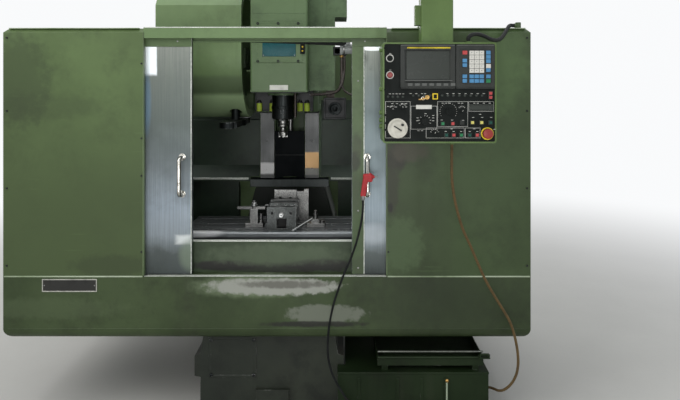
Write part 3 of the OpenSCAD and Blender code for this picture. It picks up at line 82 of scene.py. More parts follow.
class Finish:
    def __init__(self, name, world=None):
        self.material = world or bpy.data.materials.new(name)
        self.material.use_nodes = True
        self.tree = self.material.node_tree
        self.tree.nodes.clear()
        self.kept = {}
        if not world:
            self.place = self.node("ShaderNodeTexCoord", out="Object")
            self.x, self.y, self.z = (self.node("ShaderNodeSeparateXYZ", None, self.place,
                                                out=axis) for axis in "XYZ")

    # Every node comes from here: its type, its settings, then its sockets in order or by name
    def node(self, kind, settings=None, *values, out=0, **named):
        made = self.tree.nodes.new(kind)
        for key, value in (settings or {}).items():
            if key == "stops":
                stops = made.color_ramp.elements
                while len(stops) < len(value):
                    stops.new(0.5)
                for stop, (at, shade) in zip(stops, value):
                    stop.position, stop.color = at, (*shade, 1)
            else:
                setattr(made, key, value)
        sockets = [s for s in made.inputs if s.enabled]
        pairs = list(zip(sockets, values))
        for key, value in named.items():
            pairs += [(s, value) for s in sockets if s.name.replace(" ", "") == key][:1]
        for socket, value in pairs:
            if isinstance(value, Wire):
                self.tree.links.new(value.socket, socket)
            elif value is not None:
                plain = socket.type == "RGBA" and len(value) == 3
                socket.default_value = (*value, 1) if plain else value
        outs = [s for s in made.outputs if s.enabled]
        if outs:
            return Wire(self, made.outputs[out] if isinstance(out, str) else outs[out])

    # A pattern that is there already is used again
    def once(self, make, *key):
        if (make, key) not in self.kept:
            self.kept[make, key] = make(self, *key)
        return self.kept[make, key]

    def makeNoise(self, scale, detail, rough, stretch, shift):
        spot = self.place
        if stretch != (1, 1, 1) or shift:
            spot = self.node("ShaderNodeMapping", None, self.place, Scale=stretch,
                             Location=(shift, shift * 0.7, shift * 1.3))
        return self.node("ShaderNodeTexNoise", None, Vector=spot, Scale=scale, Detail=detail,
                         Roughness=rough)

    def noise(self, scale, detail=3, rough=0.5, stretch=(1, 1, 1), shift=0):
        return self.once(Finish.makeNoise, scale, detail, rough, stretch, shift)

    def step(self, value, low, high, start=0.0, end=1.0):
        return self.node("ShaderNodeMapRange", {"interpolation_type": "SMOOTHSTEP"}, value,
                         low, high, start, end)

    def mix(self, share, one, two):
        return self.node("ShaderNodeMix", {"data_type": "RGBA"}, share, one, two)

    def makeRounded(self, radius):
        return self.node("ShaderNodeBevel", {"samples": 4}, radius)

    def rounded(self, radius):
        return self.once(Finish.makeRounded, radius)

    # Where the surface turns sharply: 1 at an edge, 0 on a face
    def edge(self, radius):
        straight = self.node("ShaderNodeNewGeometry", out="Normal")
        turned = self.node("ShaderNodeVectorMath", {"operation": "DOT_PRODUCT"},
                           self.rounded(radius), straight, out="Value")
        return self.step(1 - turned, 0.02, 0.2)

    # How far a face looks along an axis: 1 straight along it
    def facing(self, axis):
        normal = self.node("ShaderNodeNewGeometry", out="Normal")
        return self.node("ShaderNodeSeparateXYZ", None, normal, out=axis)

    def span(self, wire, low, high, soft):
        past = self.step(wire, high - soft, high + soft)
        return self.step(wire, low - soft, low + soft) * (1 - past)

    # A ragged patch round (x, z), as grime and worn places have, or a straight-sided one
    def blot(self, x, z, rx, rz, ragged=0.8, scale=22, soft=0.45, square=False):
        dx, dz = (self.x - x) / rx, (self.z - z) / rz
        dx, dz = dx * dx, dz * dz
        reach = (dx | dz) if square else dx + dz
        reach = reach + (self.noise(scale, 5, 0.65) - 0.5) * ragged * 3
        return 1 - self.step(reach, 0.8 - soft, 0.8 + soft * 1.6)

    # Marks laid on a colour: x, z, half widths, share, tone, then what is special about one.
    # What is matt there isn't metal
    def mark(self, marks, colour, metal=0.0):
        for x, z, rx, rz, share, tone, *more in marks:
            more = dict(*more)
            depth, matt = more.pop("y", None), more.pop("matt", None)
            patch = self.blot(x, z, rx, rz, **more)
            if depth:
                patch = patch * self.span(self.y, *depth, 0.004)
            colour = self.mix(patch * share, colour, tone)
            if matt:
                metal = metal * (1 - patch * matt)
        return colour, metal

    # Colours at heights, blended between them
    def bands(self, height, stops):
        low, high = stops[0][0], stops[-1][0]
        share = self.node("ShaderNodeMapRange", None, height, low, high)
        return self.node("ShaderNodeValToRGB", {"stops": [((at - low) / (high - low), shade)
                                                          for at, shade in stops]}, share)

    # 1 where the camera looks on it directly, or in metal or through glass
    def looked(self):
        rays = [self.node("ShaderNodeLightPath", out="Is " + ray + " Ray")
                for ray in ("Camera", "Glossy", "Transmission")]
        return rays[0] | rays[1] | rays[2]

    def bump(self, height, strength, distance, radius=0.0012):
        return self.node("ShaderNodeBump", None, Strength=strength, Distance=distance,
                         Height=height, Normal=self.rounded(radius))

    def finish(self, colour, rough, metal=0.0, normal=None, coat=0.0, coatRough=0.1, **more):
        shader = self.node("ShaderNodeBsdfPrincipled", None, BaseColor=colour, Roughness=rough,
                           Metallic=metal, CoatWeight=coat, CoatRoughness=coatRough,
                           Normal=normal or self.rounded(0.0012), **more)
        self.node("ShaderNodeOutputMaterial", None, shader)
        return self.material


# The conduit and the two hoses
def smoothRoute(points, steps=8):
    points = [Vector(p) / 1000 for p in points]
    made = []
    for i in range(len(points) - 1):
        a, b = points[max(i - 1, 0)], points[i]
        c, d = points[i + 1], points[min(i + 2, len(points) - 1)]
        for k in range(steps):
            t = k / steps
            made.append(0.5 * (2 * b + (c - a) * t + (2 * a - 5 * b + 4 * c - d) * t * t
                               + (3 * b - a - 3 * c + d) * t ** 3))
    return made + [points[-1]]


def routeLength(route):
    return sum((b - a).length for a, b in zip(route, route[1:]))


# A closed tube along a route, with its own length as an attribute for the pattern on it
def sweepTube(name, route, radius, sides=14):
    rings, side = [], Vector((1, 0.2, 0.1))
    lengths, total = [], 0.0
    for i, point in enumerate(route):
        ahead = (route[min(i + 1, len(route) - 1)] - route[max(i - 1, 0)]).normalized()
        side = (side - ahead * side.dot(ahead)).normalized()
        other = ahead.cross(side)
        rings.append([point + radius * (math.cos(a) * side + math.sin(a) * other)
                      for a in (k * math.tau / sides for k in range(sides))])
        lengths.append(total)
        if i + 1 < len(route):
            total += (route[i + 1] - point).length
    points = [p for ring in rings for p in ring]
    faces = [(i * sides + k, i * sides + (k + 1) % sides, (i + 1) * sides + (k + 1) % sides,
              (i + 1) * sides + k) for i in range(len(rings) - 1) for k in range(sides)]
    faces.append(tuple(reversed(range(sides))))
    faces.append(tuple((len(rings) - 1) * sides + k for k in range(sides)))
    mesh = bpy.data.meshes.new(name)
    mesh.from_pydata(points, [], faces)
    along = mesh.attributes.new("along", "FLOAT", "POINT")
    along.data.foreach_set("value", [d for d in lengths for _ in range(sides)])
    mesh.shade_smooth()
    made = bpy.data.objects.new(name, mesh)
    bpy.context.collection.objects.link(made)
    return made


cords = {
    "panelConduit": {"route": (
        (898, -1150, 1790.2), (898, -1150, 1796), (898, -1150, 1804), (906, -1147, 1814),
        (922, -1140, 1821), (950, -1124, 1822), (980, -1105, 1815), (1008, -1086, 1805),
        (1036, -1064, 1801), (1064, -1036, 1808), (1090, -1006, 1830), (1112, -974, 1856),
        (1130, -942, 1874), (1143, -922, 1881), (1153, -920, 1881), (1161.7, -920, 1881)),
        "radius": 0.009, "ends": ("panel", "root"), "farEnd": "object",
        "node": "conduit"},
    "panelHose": {"route": (
        (826, -1150, 1342.8), (826, -1150, 1330), (826, -1150, 1312), (826, -1148, 1260),
        (828, -1142, 1190), (840, -1132, 1110), (860, -1120, 1030), (885, -1106, 958),
        (919, -1090, 887), (955, -1076, 806), (992, -1064, 727), (1034, -1052, 654),
        (1076, -1042, 586), (1106, -1034, 536), (1126, -1027, 486), (1142, -1021, 426),
        (1151, -1018, 368), (1152, -1015, 318), (1144, -1010, 272), (1124, -1000, 228),
        (1098, -982, 194), (1082, -950, 174), (1070, -920, 166), (1056, -902, 164),
        (1046, -898, 164), (1038, -898, 164), (1030.2, -898, 164)),
        "radius": 0.006, "ends": ("panel", "root"), "farEnd": "object",
        "node": "panel_hose"},
    "airHose": {"route": (
        (400, -964.3, 110), (400, -971, 110), (400, -978, 110), (400, -988, 114),
        (395, -1000, 126), (380, -1006, 148), (358, -1010, 182), (332, -1012, 226),
        (308, -1014, 274), (292, -1015, 326), (284, -1016, 388), (286, -1017, 456),
        (295, -1018, 528), (312, -1019, 606), (336, -1019, 680), (362, -1019, 748),
        (390, -1018, 812), (414, -1017, 880), (432, -1016, 950), (442, -1016, 1006),
        (445, -1016, 1046), (445, -1016, 1064), (445, -1016, 1075.8)),
        "radius": 0.005, "ends": ("root", "right_door"), "farEnd": "tool",
        "node": "air_hose"},
}


def layCord(name, say):
    route = smoothRoute(say["route"])
    made = sweepTube(name, route, say["radius"])
    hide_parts(say["node"])
    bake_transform(made)
    if say["farEnd"] != "tool":
        declareCord(name, made)
    print("cord", name, round(routeLength(route), 3), "m")
    return made


def declareCord(name, made, *pieces):
    say = cords[name]
    route = smoothRoute(say["route"])
    routeLength(route)


cordPieces = {name: layCord(name, say) for name, say in cords.items()}


# Finishes. Colours are linear, sizes in metres, places in the machine's own frame
paints = {
    "guard": {"colour": (0.098, 0.138, 0.064), "pale": (0.135, 0.19, 0.092),
              "deep": (0.062, 0.085, 0.04), "grime": (0.03, 0.034, 0.02), "rough": 0.36,
              "streaks": 0.3, "dust": 0.35, "wear": 0.55, "wave": 1.0, "gloss": 0.3},
    "casting": {"grime": (0.012, 0.012, 0.009), "rough": 0.5, "streaks": 0.45, "dust": 0.6,
                "wear": 0.5, "gloss": 0.3},
    "head": {"grime": (0.014, 0.016, 0.012), "rough": 0.34, "streaks": 0.35, "dust": 0.3,
             "wear": 0.5, "wave": 0.7, "gloss": 0.3},
    "rearWall": {"grime": (0.006, 0.007, 0.005), "rough": 0.4, "streaks": 0.6, "dust": 0.4,
                 "wear": 0.6, "wave": 1.0, "gloss": 0.3},
}
wearTones = {"bare": (0.42, 0.43, 0.41), "rust": (0.16, 0.07, 0.03)}


# A kind of paint with its own shades and whatever else is different about it
def painted(kind, shades, change):
    return {**paints[kind], **dict(zip(("colour", "pale", "deep"), shades)), **change}


def enamel(name, kind, shades=(), marks=(), **change):
    look = painted(kind, shades, change)
    f = Finish(name)
    cloud, grain = f.noise(1.7, 5, 0.6), f.noise(60, 4, 0.65)
    colour = f.mix(f.step(cloud, 0.36, 0.66), look["colour"], look["pale"])
    colour = f.mix(f.step(f.noise(5.5, 5, 0.7, shift=3), 0.45, 0.75) * 0.55, colour,
                   look["deep"])
    runs = f.step(f.noise(13, 4, 0.6, stretch=(1, 1, 0.045)), 0.5, 0.78)
    runs = runs * f.step(f.noise(2.4, 3, 0.5, shift=7), 0.38, 0.62)
    colour = f.mix(runs * look["streaks"], colour, look["grime"])
    if "foot" in look:
        share, low, high = look["foot"]
        colour = f.mix((1 - f.step(f.z + cloud * 0.2 - 0.1, low, high)) * share, colour,
                       look["deep"])
    stipple = f.step(grain, 0.52, 0.72) * f.step(f.noise(4, 4, 0.6, shift=11), 0.42, 0.68)
    colour = f.mix(stipple * look["dust"] * 0.5, colour, look["deep"])
    rub = f.noise(90, 2, 0.5, stretch=(0.05, 0.05, 1), shift=5)
    rub = f.step(rub, 0.66, 0.72) * f.step(f.noise(3, 4, 0.6, shift=19), 0.5, 0.62)
    colour = f.mix(rub * 0.3, colour, look["pale"])
    rough = look["rough"] + grain * 0.1 + runs * 0.18 - rub * 0.05
    colour, _ = f.mark(marks, colour)
    # Edges: rubbed paint, and bare metal where it has chipped off
    edge = f.edge(0.004) * f.step(f.noise(9, 5, 0.7, shift=2), 0.46, 0.64)
    chip = f.edge(0.0025) * f.step(f.noise(38, 4, 0.7, shift=9), 0.56, 0.66)
    colour = f.mix(edge * look["wear"], colour, look["pale"])
    colour = f.mix(chip * look["wear"], colour, wearTones["bare"])
    peel = f.noise(420, 1, 0.5) * 0.35 + f.noise(2.6, 2, 0.4) * 9 * look["wave"]
    normal = f.bump(peel - chip * 1.5, 0.3, 0.0016)
    return f.finish(colour, rough, 0.0, normal, SpecularIORLevel=look["gloss"])


def castPaint(name, kind, shades=(), marks=(), **change):
    look = painted(kind, shades, change)
    f = Finish(name)
    lump, grain = f.noise(34, 6, 0.6), f.noise(220, 3, 0.6)
    colour = f.mix(f.step(f.noise(2.2, 5, 0.6), 0.36, 0.66), look["colour"], look["pale"])
    colour = f.mix(f.step(f.noise(6, 6, 0.7, shift=4), 0.44, 0.7) * 0.7, colour, look["deep"])
    runs = f.step(f.noise(16, 4, 0.6, stretch=(1, 1, 0.05)), 0.5, 0.74)
    colour = f.mix(runs * look["streaks"], colour, look["grime"])
    top = f.step(f.facing("Z"), 0.55, 0.9) * f.step(f.noise(12, 5, 0.7), 0.4, 0.62)
    colour = f.mix(top * look["dust"], colour, (0.055, 0.05, 0.038))
    rough = look["rough"] + lump * 0.14 - runs * 0.15
    colour, _ = f.mark(marks, colour)
    chip = f.edge(0.004) * f.step(f.noise(26, 5, 0.7, shift=9), 0.52, 0.66)
    colour = f.mix(chip * look["wear"], colour, wearTones["bare"])
    normal = f.bump(lump * 1.1 + grain * 0.25 - chip, 0.35, 0.0014, 0.002)
    return f.finish(colour, rough, 0.0, normal, SpecularIORLevel=look["gloss"])


steels = {
    "brushed": {"rough": 0.34, "grain": (1, 1, 0.012), "oil": 0.5, "rust": 0.0},
    "ground": {"rough": 0.3, "grain": (0.02, 1, 1), "oil": 0.55, "rust": 0.1},
    "turned": {"colour": (0.42, 0.42, 0.41), "dark": (0.16, 0.16, 0.155), "rough": 0.26,
               "grain": (1, 1, 0.6), "oil": 0.4, "rust": 0.06},
    "sooty": {"colour": (0.12, 0.125, 0.12), "dark": (0.025, 0.028, 0.026), "rough": 0.38,
              "grain": (1, 1, 0.02), "oil": 0.7, "rust": 0.12},
}


def bareSteel(name, kind, marks=(), **change):
    look = {**steels[kind], **change}
    f = Finish(name)
    grain = f.noise(260, 3, 0.6, stretch=look["grain"])
    cloud = f.noise(4.2, 5, 0.65, shift=2)
    # Colour bands by height: where a steel has them, on the doors and rails, they are painted
    # reflections
    if "bands" in look:
        tone = f.bands(f.z + cloud * 0.16 - 0.08, look["bands"])
        colour = f.mix(f.step(grain, 0.35, 0.65) * 0.3, tone, look["dark"])
    else:
        colour = f.mix(f.step(grain, 0.3, 0.7), look["dark"], look["colour"])
    colour = f.mix(f.step(cloud, 0.42, 0.68) * look["oil"], colour, look["dark"])
    spots = f.step(f.noise(70, 5, 0.7, shift=8), 0.6, 0.68)
    colour = f.mix(spots * look["oil"] * 0.5, colour, (0.05, 0.045, 0.035))
    stain = f.step(f.noise(9, 6, 0.75, shift=13), 0.6, 0.72)
    colour = f.mix(stain * look["rust"], colour, wearTones["rust"])
    rough = look["rough"] + grain * 0.14 + f.step(cloud, 0.4, 0.7) * 0.1 + stain * 0.2
    metal = (1 - stain * look["rust"] * 2 - spots * 0.3) * (1 - look.get("matt", 0.0))
    colour, metal = f.mark(marks, colour, metal)
    edge = f.edge(0.003) * f.step(f.noise(30, 4, 0.6, shift=9), 0.42, 0.6)
    colour = f.mix(edge * 0.6, colour, (0.62, 0.63, 0.62))
    normal = f.bump(grain * 0.35 + f.noise(3, 2, 0.4) * 5 - spots * 0.3, 0.25, 0.0012)
    return f.finish(colour, rough, metal, normal)


def chrome(name):
    f = Finish(name)
    haze = f.noise(18, 5, 0.7)
    # The dark brownish patches are painted reflections, and the sides facing left and right are
    # darkened as painted shade
    colour = f.mix(f.step(haze, 0.45, 0.7) * 0.7, (0.66, 0.65, 0.6), (0.1, 0.085, 0.06))
    side = f.facing("X").math("ABSOLUTE")
    colour = f.mix(f.step(side, 0.4, 0.75) * 0.8, colour, (0.05, 0.045, 0.035))
    return f.finish(colour, 0.1 + f.step(haze, 0.4, 0.8) * 0.22, 1.0)


# Moulded and coated parts that are one colour, with grime in it and rubbed edges
def coated(name, colour, dark=0.45, rough=0.42, grit=180, grime=0.4, wear=0.25, metal=0.0,
           coat=0.0, edgeTone=None, gloss=0.2, **more):
    f = Finish(name)
    deep = tuple(c * dark for c in colour)
    lift = edgeTone or tuple(min(1.0, c * 1.5 + 0.05) for c in colour)
    cloud, grain = f.noise(14, 5, 0.65), f.noise(grit, 3, 0.6)
    made = f.mix(f.step(cloud, 0.42, 0.7) * grime, colour, deep)
    made = f.mix(f.step(grain, 0.55, 0.75) * grime * 0.4, made, deep)
    edge = f.edge(0.0022) * f.step(f.noise(40, 4, 0.6, shift=6), 0.42, 0.62)
    made = f.mix(edge * wear, made, lift)
    normal = f.bump(grain, 0.18, 0.0006)
    return f.finish(made, rough + f.step(cloud, 0.4, 0.7) * 0.14, metal, normal, coat=coat,
                    SpecularIORLevel=gloss, **more)


# Hose jackets: the pattern runs along the hose's own length
def jacket(name, colour, dirt, rib=0.0, pitch=0.004, rough=0.5):
    f = Finish(name)
    along = f.node("ShaderNodeAttribute", {"attribute_name": "along"}, out="Fac")
    ring = (along * (math.tau / pitch)).math("SINE") * 0.5 + 0.5
    dust = f.step(f.noise(26, 5, 0.7), 0.45, 0.68)
    made = f.mix(dust * 0.55, colour, dirt)
    made = f.mix((1 - ring) * rib * 0.7, made, tuple(c * 0.3 for c in colour))
    normal = f.bump(ring * rib * 3 + f.noise(300, 3) * 0.4, 0.5, 0.001, 0.0004)
    return f.finish(made, rough + dust * 0.15, 0.0, normal, SpecularIORLevel=0.15)


def coat(piece, *materials):
    piece.data.materials.clear()
    for material in materials:
        piece.data.materials.append(material)
    return piece


oilStain, baldSpot = (0.012, 0.012, 0.01), (0.3, 0.31, 0.275)
guardPaint = enamel("guardPaint", "guard")
cabinetPaint = enamel("cabinetPaint", "guard", marks=(
    (0.0, 0.92, 0.6, 0.82, 0.95, (0.3, 0.31, 0.29),
     dict(ragged=0.02, square=True, soft=0.1, y=(0.937, 0.955))),
    (-0.01, 1.075, 0.52, 0.21, 0.95, (0.075, 0.08, 0.08),
     dict(ragged=0.02, square=True, soft=0.1, y=(0.959, 1.125)))))
leftPaint = enamel("leftPaint", "guard", ((0.082, 0.126, 0.046),
                   (0.108, 0.164, 0.062), (0.048, 0.07, 0.027)), foot=(0.85, 1.0, 1.85), marks=(
    (-1.16, 1.62, 0.16, 0.22, 0.5, (0.028, 0.04, 0.018)),
    (-1.05, 1.5, 0.28, 0.06, 0.3, (0.032, 0.045, 0.02)),
    (-0.72, 0.76, 0.2, 0.05, 0.4, (0.022, 0.03, 0.014))))
# Right wing: a darker copy of the guard paint, painted shade, with the pale patch high on its
# right as painted light
rightShadedPaint = enamel("rightShadedPaint", "guard", ((0.036, 0.058, 0.02),
                    (0.062, 0.1, 0.038), (0.02, 0.032, 0.011)), foot=(0.4, 0.9, 1.9), marks=(
    (0.598, 1.265, 0.055, 0.075, 0.9, (0.022, 0.021, 0.015)),
    (0.66, 1.29, 0.09, 0.045, 0.75, (0.06, 0.055, 0.038)),
    (0.585, 1.12, 0.03, 0.13, 0.8, (0.03, 0.032, 0.02)),
    (0.62, 0.86, 0.11, 0.13, 0.45, (0.082, 0.128, 0.058)),
    (1.06, 1.68, 0.13, 0.2, 0.6, (0.1, 0.165, 0.062), dict(soft=0.8)),
    (0.574, 1.03, 0.012, 0.025, 0.9, oilStain)))
# Pan: the dark field over its right end is painted shade, and the paler strip at its left end
# painted light
panPaint = enamel("panPaint", "guard", ((0.023, 0.038, 0.012),
                  (0.046, 0.07, 0.027), (0.012, 0.018, 0.006)), dust=0.6, wear=0.7, marks=(
    (0.85, 0.6, 0.42, 0.2, 0.55, (0.012, 0.018, 0.008), dict(soft=0.8)),
    (-0.06, 0.662, 0.28, 0.05, 0.8, (0.135, 0.175, 0.1), dict(ragged=0.5)),
    (0.03, 0.662, 0.32, 0.042, 0.95, baldSpot, dict(ragged=0.7, scale=24, soft=0.25)),
    (0.08, 0.672, 0.2, 0.018, 0.75, (0.085, 0.082, 0.068), dict(ragged=0.8, scale=30)),
    (0.27, 0.532, 0.19, 0.046, 0.85, (0.15, 0.165, 0.13),
     dict(ragged=0.95, scale=22, soft=0.25)),
    (0.22, 0.488, 0.24, 0.014, 0.9, oilStain, dict(ragged=0.7)),
    (-1.0, 0.56, 0.34, 0.05, 0.4, (0.075, 0.105, 0.05))))
headerPaint = enamel("headerPaint", "guard", ((0.132, 0.205, 0.088),
                     (0.165, 0.25, 0.112), (0.09, 0.14, 0.06)))
apronPaint = enamel("apronPaint", "guard", ((0.026, 0.041, 0.019),
                    (0.042, 0.064, 0.032), (0.013, 0.02, 0.01)), dust=0.9, marks=(
    (-0.21, 0.74, 0.165, 0.027, 0.97, oilStain, dict(ragged=0.35, soft=0.3)),
    (0.05, 0.726, 0.2, 0.026, 0.8, oilStain, dict(ragged=0.9)),
    (0.24, 0.742, 0.16, 0.032, 0.92, oilStain, dict(ragged=0.9, soft=0.3)),
    (0.02, 0.79, 0.34, 0.05, 0.35, (0.115, 0.15, 0.092))))
hoodPaint = enamel("hoodPaint", "head", ((0.088, 0.142, 0.06),
                   (0.112, 0.176, 0.08), (0.056, 0.09, 0.042)), dust=0.15)
# Magazine cover: the pale band low on the drum is painted light, and the dark band above it a
# painted reflection
magazinePaint = enamel("magazinePaint", "head", ((0.125, 0.19, 0.08),
                       (0.165, 0.25, 0.11), (0.08, 0.118, 0.055)), dust=0.2, marks=(
    (-0.42, 1.475, 0.3, 0.08, 0.8, (0.36, 0.49, 0.27), dict(ragged=0.1, square=True, soft=0.3)),
    (-0.42, 1.6, 0.3, 0.05, 0.45, (0.055, 0.065, 0.05),
     dict(ragged=0.1, square=True, soft=0.5))))
wallPaint = enamel("wallPaint", "rearWall", ((0.02, 0.036, 0.022),
                   (0.034, 0.052, 0.034), (0.006, 0.01, 0.007)))
tankPaint = enamel("tankPaint", "guard", ((0.006, 0.013, 0.004),
                   (0.013, 0.024, 0.009), (0.003, 0.005, 0.002)), dust=0.8, gloss=0.15)
postPaint = enamel("postPaint", "guard", ((0.082, 0.136, 0.038),
                   (0.104, 0.168, 0.052), (0.055, 0.09, 0.026)))
beamPaint = enamel("beamPaint", "rearWall", ((0.085, 0.1, 0.098),
                   (0.12, 0.135, 0.13), (0.04, 0.046, 0.044)))
bedPaint = castPaint("bedPaint", "casting", ((0.012, 0.016, 0.011),
                     (0.022, 0.027, 0.018), (0.004, 0.006, 0.004)))
# Column: the near-black field low on its front is painted shade under the rail beam, and the pale
# strip on its right corner is painted light
columnPaint = castPaint("columnPaint", "casting", ((0.07, 0.11, 0.048),
                        (0.095, 0.15, 0.068), (0.03, 0.045, 0.022)), marks=(
    (0.018, 0.8, 0.4, 0.165, 0.95, (0.004, 0.006, 0.005),
     dict(ragged=0.1, square=True, soft=0.2)),
    (0.224, 1.21, 0.02, 0.2, 0.85, (0.09, 0.15, 0.085),
     dict(ragged=0.05, square=True, soft=0.5))))
headCasting = castPaint("headCasting", "casting", ((0.11, 0.17, 0.085),
                        (0.14, 0.215, 0.11), (0.05, 0.075, 0.04)), dust=0.2)
saddlePaint = castPaint("saddlePaint", "casting", ((0.022, 0.032, 0.022),
                        (0.036, 0.05, 0.034), (0.008, 0.01, 0.007)))
# Door steel: its colour bands by height are painted reflections, and every mark on it is a painted
# reflection or highlight, bright, pale or bluish
doorSteel = bareSteel("doorSteel", "brushed", dark=(0.075, 0.088, 0.09), oil=0.22,
                      bands=((0.7, (0.045, 0.052, 0.05)), (0.8, (0.085, 0.098, 0.095)),
                             (0.88, (0.23, 0.262, 0.285)), (1.02, (0.262, 0.305, 0.345)),
                             (1.2, (0.15, 0.172, 0.18)), (1.42, (0.1, 0.117, 0.108)),
                             (1.62, (0.135, 0.152, 0.135)), (1.78, (0.2, 0.215, 0.19))), marks=(
    (-0.553, 1.718, 0.034, 0.076, 0.9, (0.8, 0.85, 0.88),
     dict(ragged=0.1, square=True, soft=0.2)),
    (-0.572, 1.52, 0.022, 0.14, 0.6, (0.12, 0.2, 0.28), dict(ragged=0.1, soft=0.7)),
    (-0.395, 0.874, 0.036, 0.02, 0.75, (0.6, 0.63, 0.62),
     dict(ragged=0.35, soft=0.75, square=True)),
    (-0.365, 0.8, 0.05, 0.07, 0.7, (0.16, 0.2, 0.15), dict(ragged=0.1, soft=0.6)),
    (0.5, 1.775, 0.07, 0.014, 0.9, (0.7, 0.74, 0.74), dict(ragged=0.1, soft=0.4)),
    (0.5, 1.25, 0.09, 0.34, 0.6, (0.115, 0.145, 0.155), dict(ragged=0.2, soft=0.75)),
    (0.5, 0.9, 0.07, 0.045, 0.4, (0.36, 0.39, 0.41), dict(ragged=0.3, soft=0.75))))
# Rails: the colour bands by height are painted reflections, and the white patch low on the left
# rail is a painted highlight
railSteel = bareSteel("railSteel", "brushed", dark=(0.045, 0.047, 0.045), oil=0.2,
                      matt=0.55, bands=(
    (1.0, (0.07, 0.072, 0.07)), (1.13, (0.15, 0.155, 0.155)), (1.25, (0.075, 0.079, 0.079)),
    (1.38, (0.115, 0.119, 0.117)), (2.3, (0.05, 0.055, 0.055))), marks=(
    (-0.124, 1.068, 0.06, 0.036, 0.95, (1.0, 0.99, 0.98),
     dict(ragged=0.1, square=True, soft=0.35, matt=0.95)),
    (0.157, 1.12, 0.064, 0.055, 0.85, (0.66, 0.4, 0.17),
     dict(ragged=0.05, square=True, soft=0.15)),
    (0.157, 1.045, 0.06, 0.02, 0.5, (0.26, 0.26, 0.23), dict(square=True, ragged=0.1))))
waySteel = bareSteel("waySteel", "sooty")
# Table: the pale strip along its front edge and the white patch at its left front are painted
# highlights
tableSteel = bareSteel("tableSteel", "ground", colour=(0.205, 0.217, 0.222),
                       dark=(0.07, 0.075, 0.077), marks=(
    (0.05, 0.85, 0.46, 0.02, 0.7, (0.48, 0.51, 0.53),
     dict(square=True, soft=0.2, ragged=0.2, y=(-0.72, -0.672))),
    (-0.375, 0.85, 0.11, 0.02, 1.0, (1.0, 1.0, 1.0),
     dict(ragged=0.25, matt=0.9, soft=0.6, y=(-0.72, -0.665)))))
viseSteel = bareSteel("viseSteel", "turned", colour=(0.105, 0.112, 0.11),
                      dark=(0.022, 0.024, 0.023), oil=0.8)
toolSteel = bareSteel("toolSteel", "turned", colour=(0.26, 0.26, 0.25),
                      dark=(0.07, 0.07, 0.068), oil=0.7)
brightSteel = bareSteel("brightSteel", "turned", colour=(0.75, 0.76, 0.75),
                        dark=(0.3, 0.31, 0.3), oil=0.3)
sootSteel = bareSteel("sootSteel", "sooty", colour=(0.045, 0.05, 0.05),
                      dark=(0.01, 0.012, 0.012))
pipeSteel = bareSteel("pipeSteel", "sooty", colour=(0.1, 0.085, 0.075),
                      dark=(0.03, 0.026, 0.024))
cutterSteel = bareSteel("cutterSteel", "turned", colour=(0.34, 0.34, 0.32),
                        dark=(0.04, 0.04, 0.04), oil=0.6)
screwSteel = bareSteel("screwSteel", "turned", oil=0.7)
handleChrome = chrome("handleChrome")
trayEdge = bareSteel("trayEdge", "brushed", colour=(0.2, 0.21, 0.19),
                     dark=(0.07, 0.075, 0.065), oil=0.6, rust=0.1)
# Near-black fill of the vise's holes and window: painted shade in place of their depth
holeShadeBlack = coated("holeShadeBlack", (0.006, 0.006, 0.006), rough=0.5, grime=0.3, wear=0.1)
blackEnamel = coated("blackEnamel", (0.014, 0.016, 0.016), rough=0.38, grime=0.5)
coverBlack = coated("coverBlack", (0.006, 0.008, 0.009), rough=0.55, grime=0.3, gloss=0.06)
blackPlastic = coated("blackPlastic", (0.006, 0.008, 0.007), rough=0.45, grime=0.4, gloss=0.1)
creamPlastic = coated("creamPlastic", (0.62, 0.6, 0.5), dark=0.55, rough=0.38, wear=0.2)
redPlastic = coated("redPlastic", (0.26, 0.03, 0.026), rough=0.32, coat=0.2)
gunRed = coated("gunRed", (0.42, 0.035, 0.04), rough=0.4, grime=0.6, wear=0.5)
screenGlass = coated("screenGlass", (0.036, 0.042, 0.036), dark=0.7, rough=0.22, grime=0.5,
                     coat=0.1)
brass = coated("brass", (0.42, 0.26, 0.09), rough=0.34, metal=1.0, grime=0.6)
conduitJacket = jacket("conduitJacket", (0.02, 0.022, 0.022), (0.07, 0.07, 0.06), 1.0, 0.0045)
brownJacket = jacket("brownJacket", (0.115, 0.075, 0.032), (0.05, 0.038, 0.022), 0.15, 0.02)
blackJacket = jacket("blackJacket", (0.004, 0.005, 0.005), (0.02, 0.022, 0.022), 0.1, 0.012)
lampTube = coated("lampTube", (0.34, 0.36, 0.35), rough=0.25, grime=0.4)

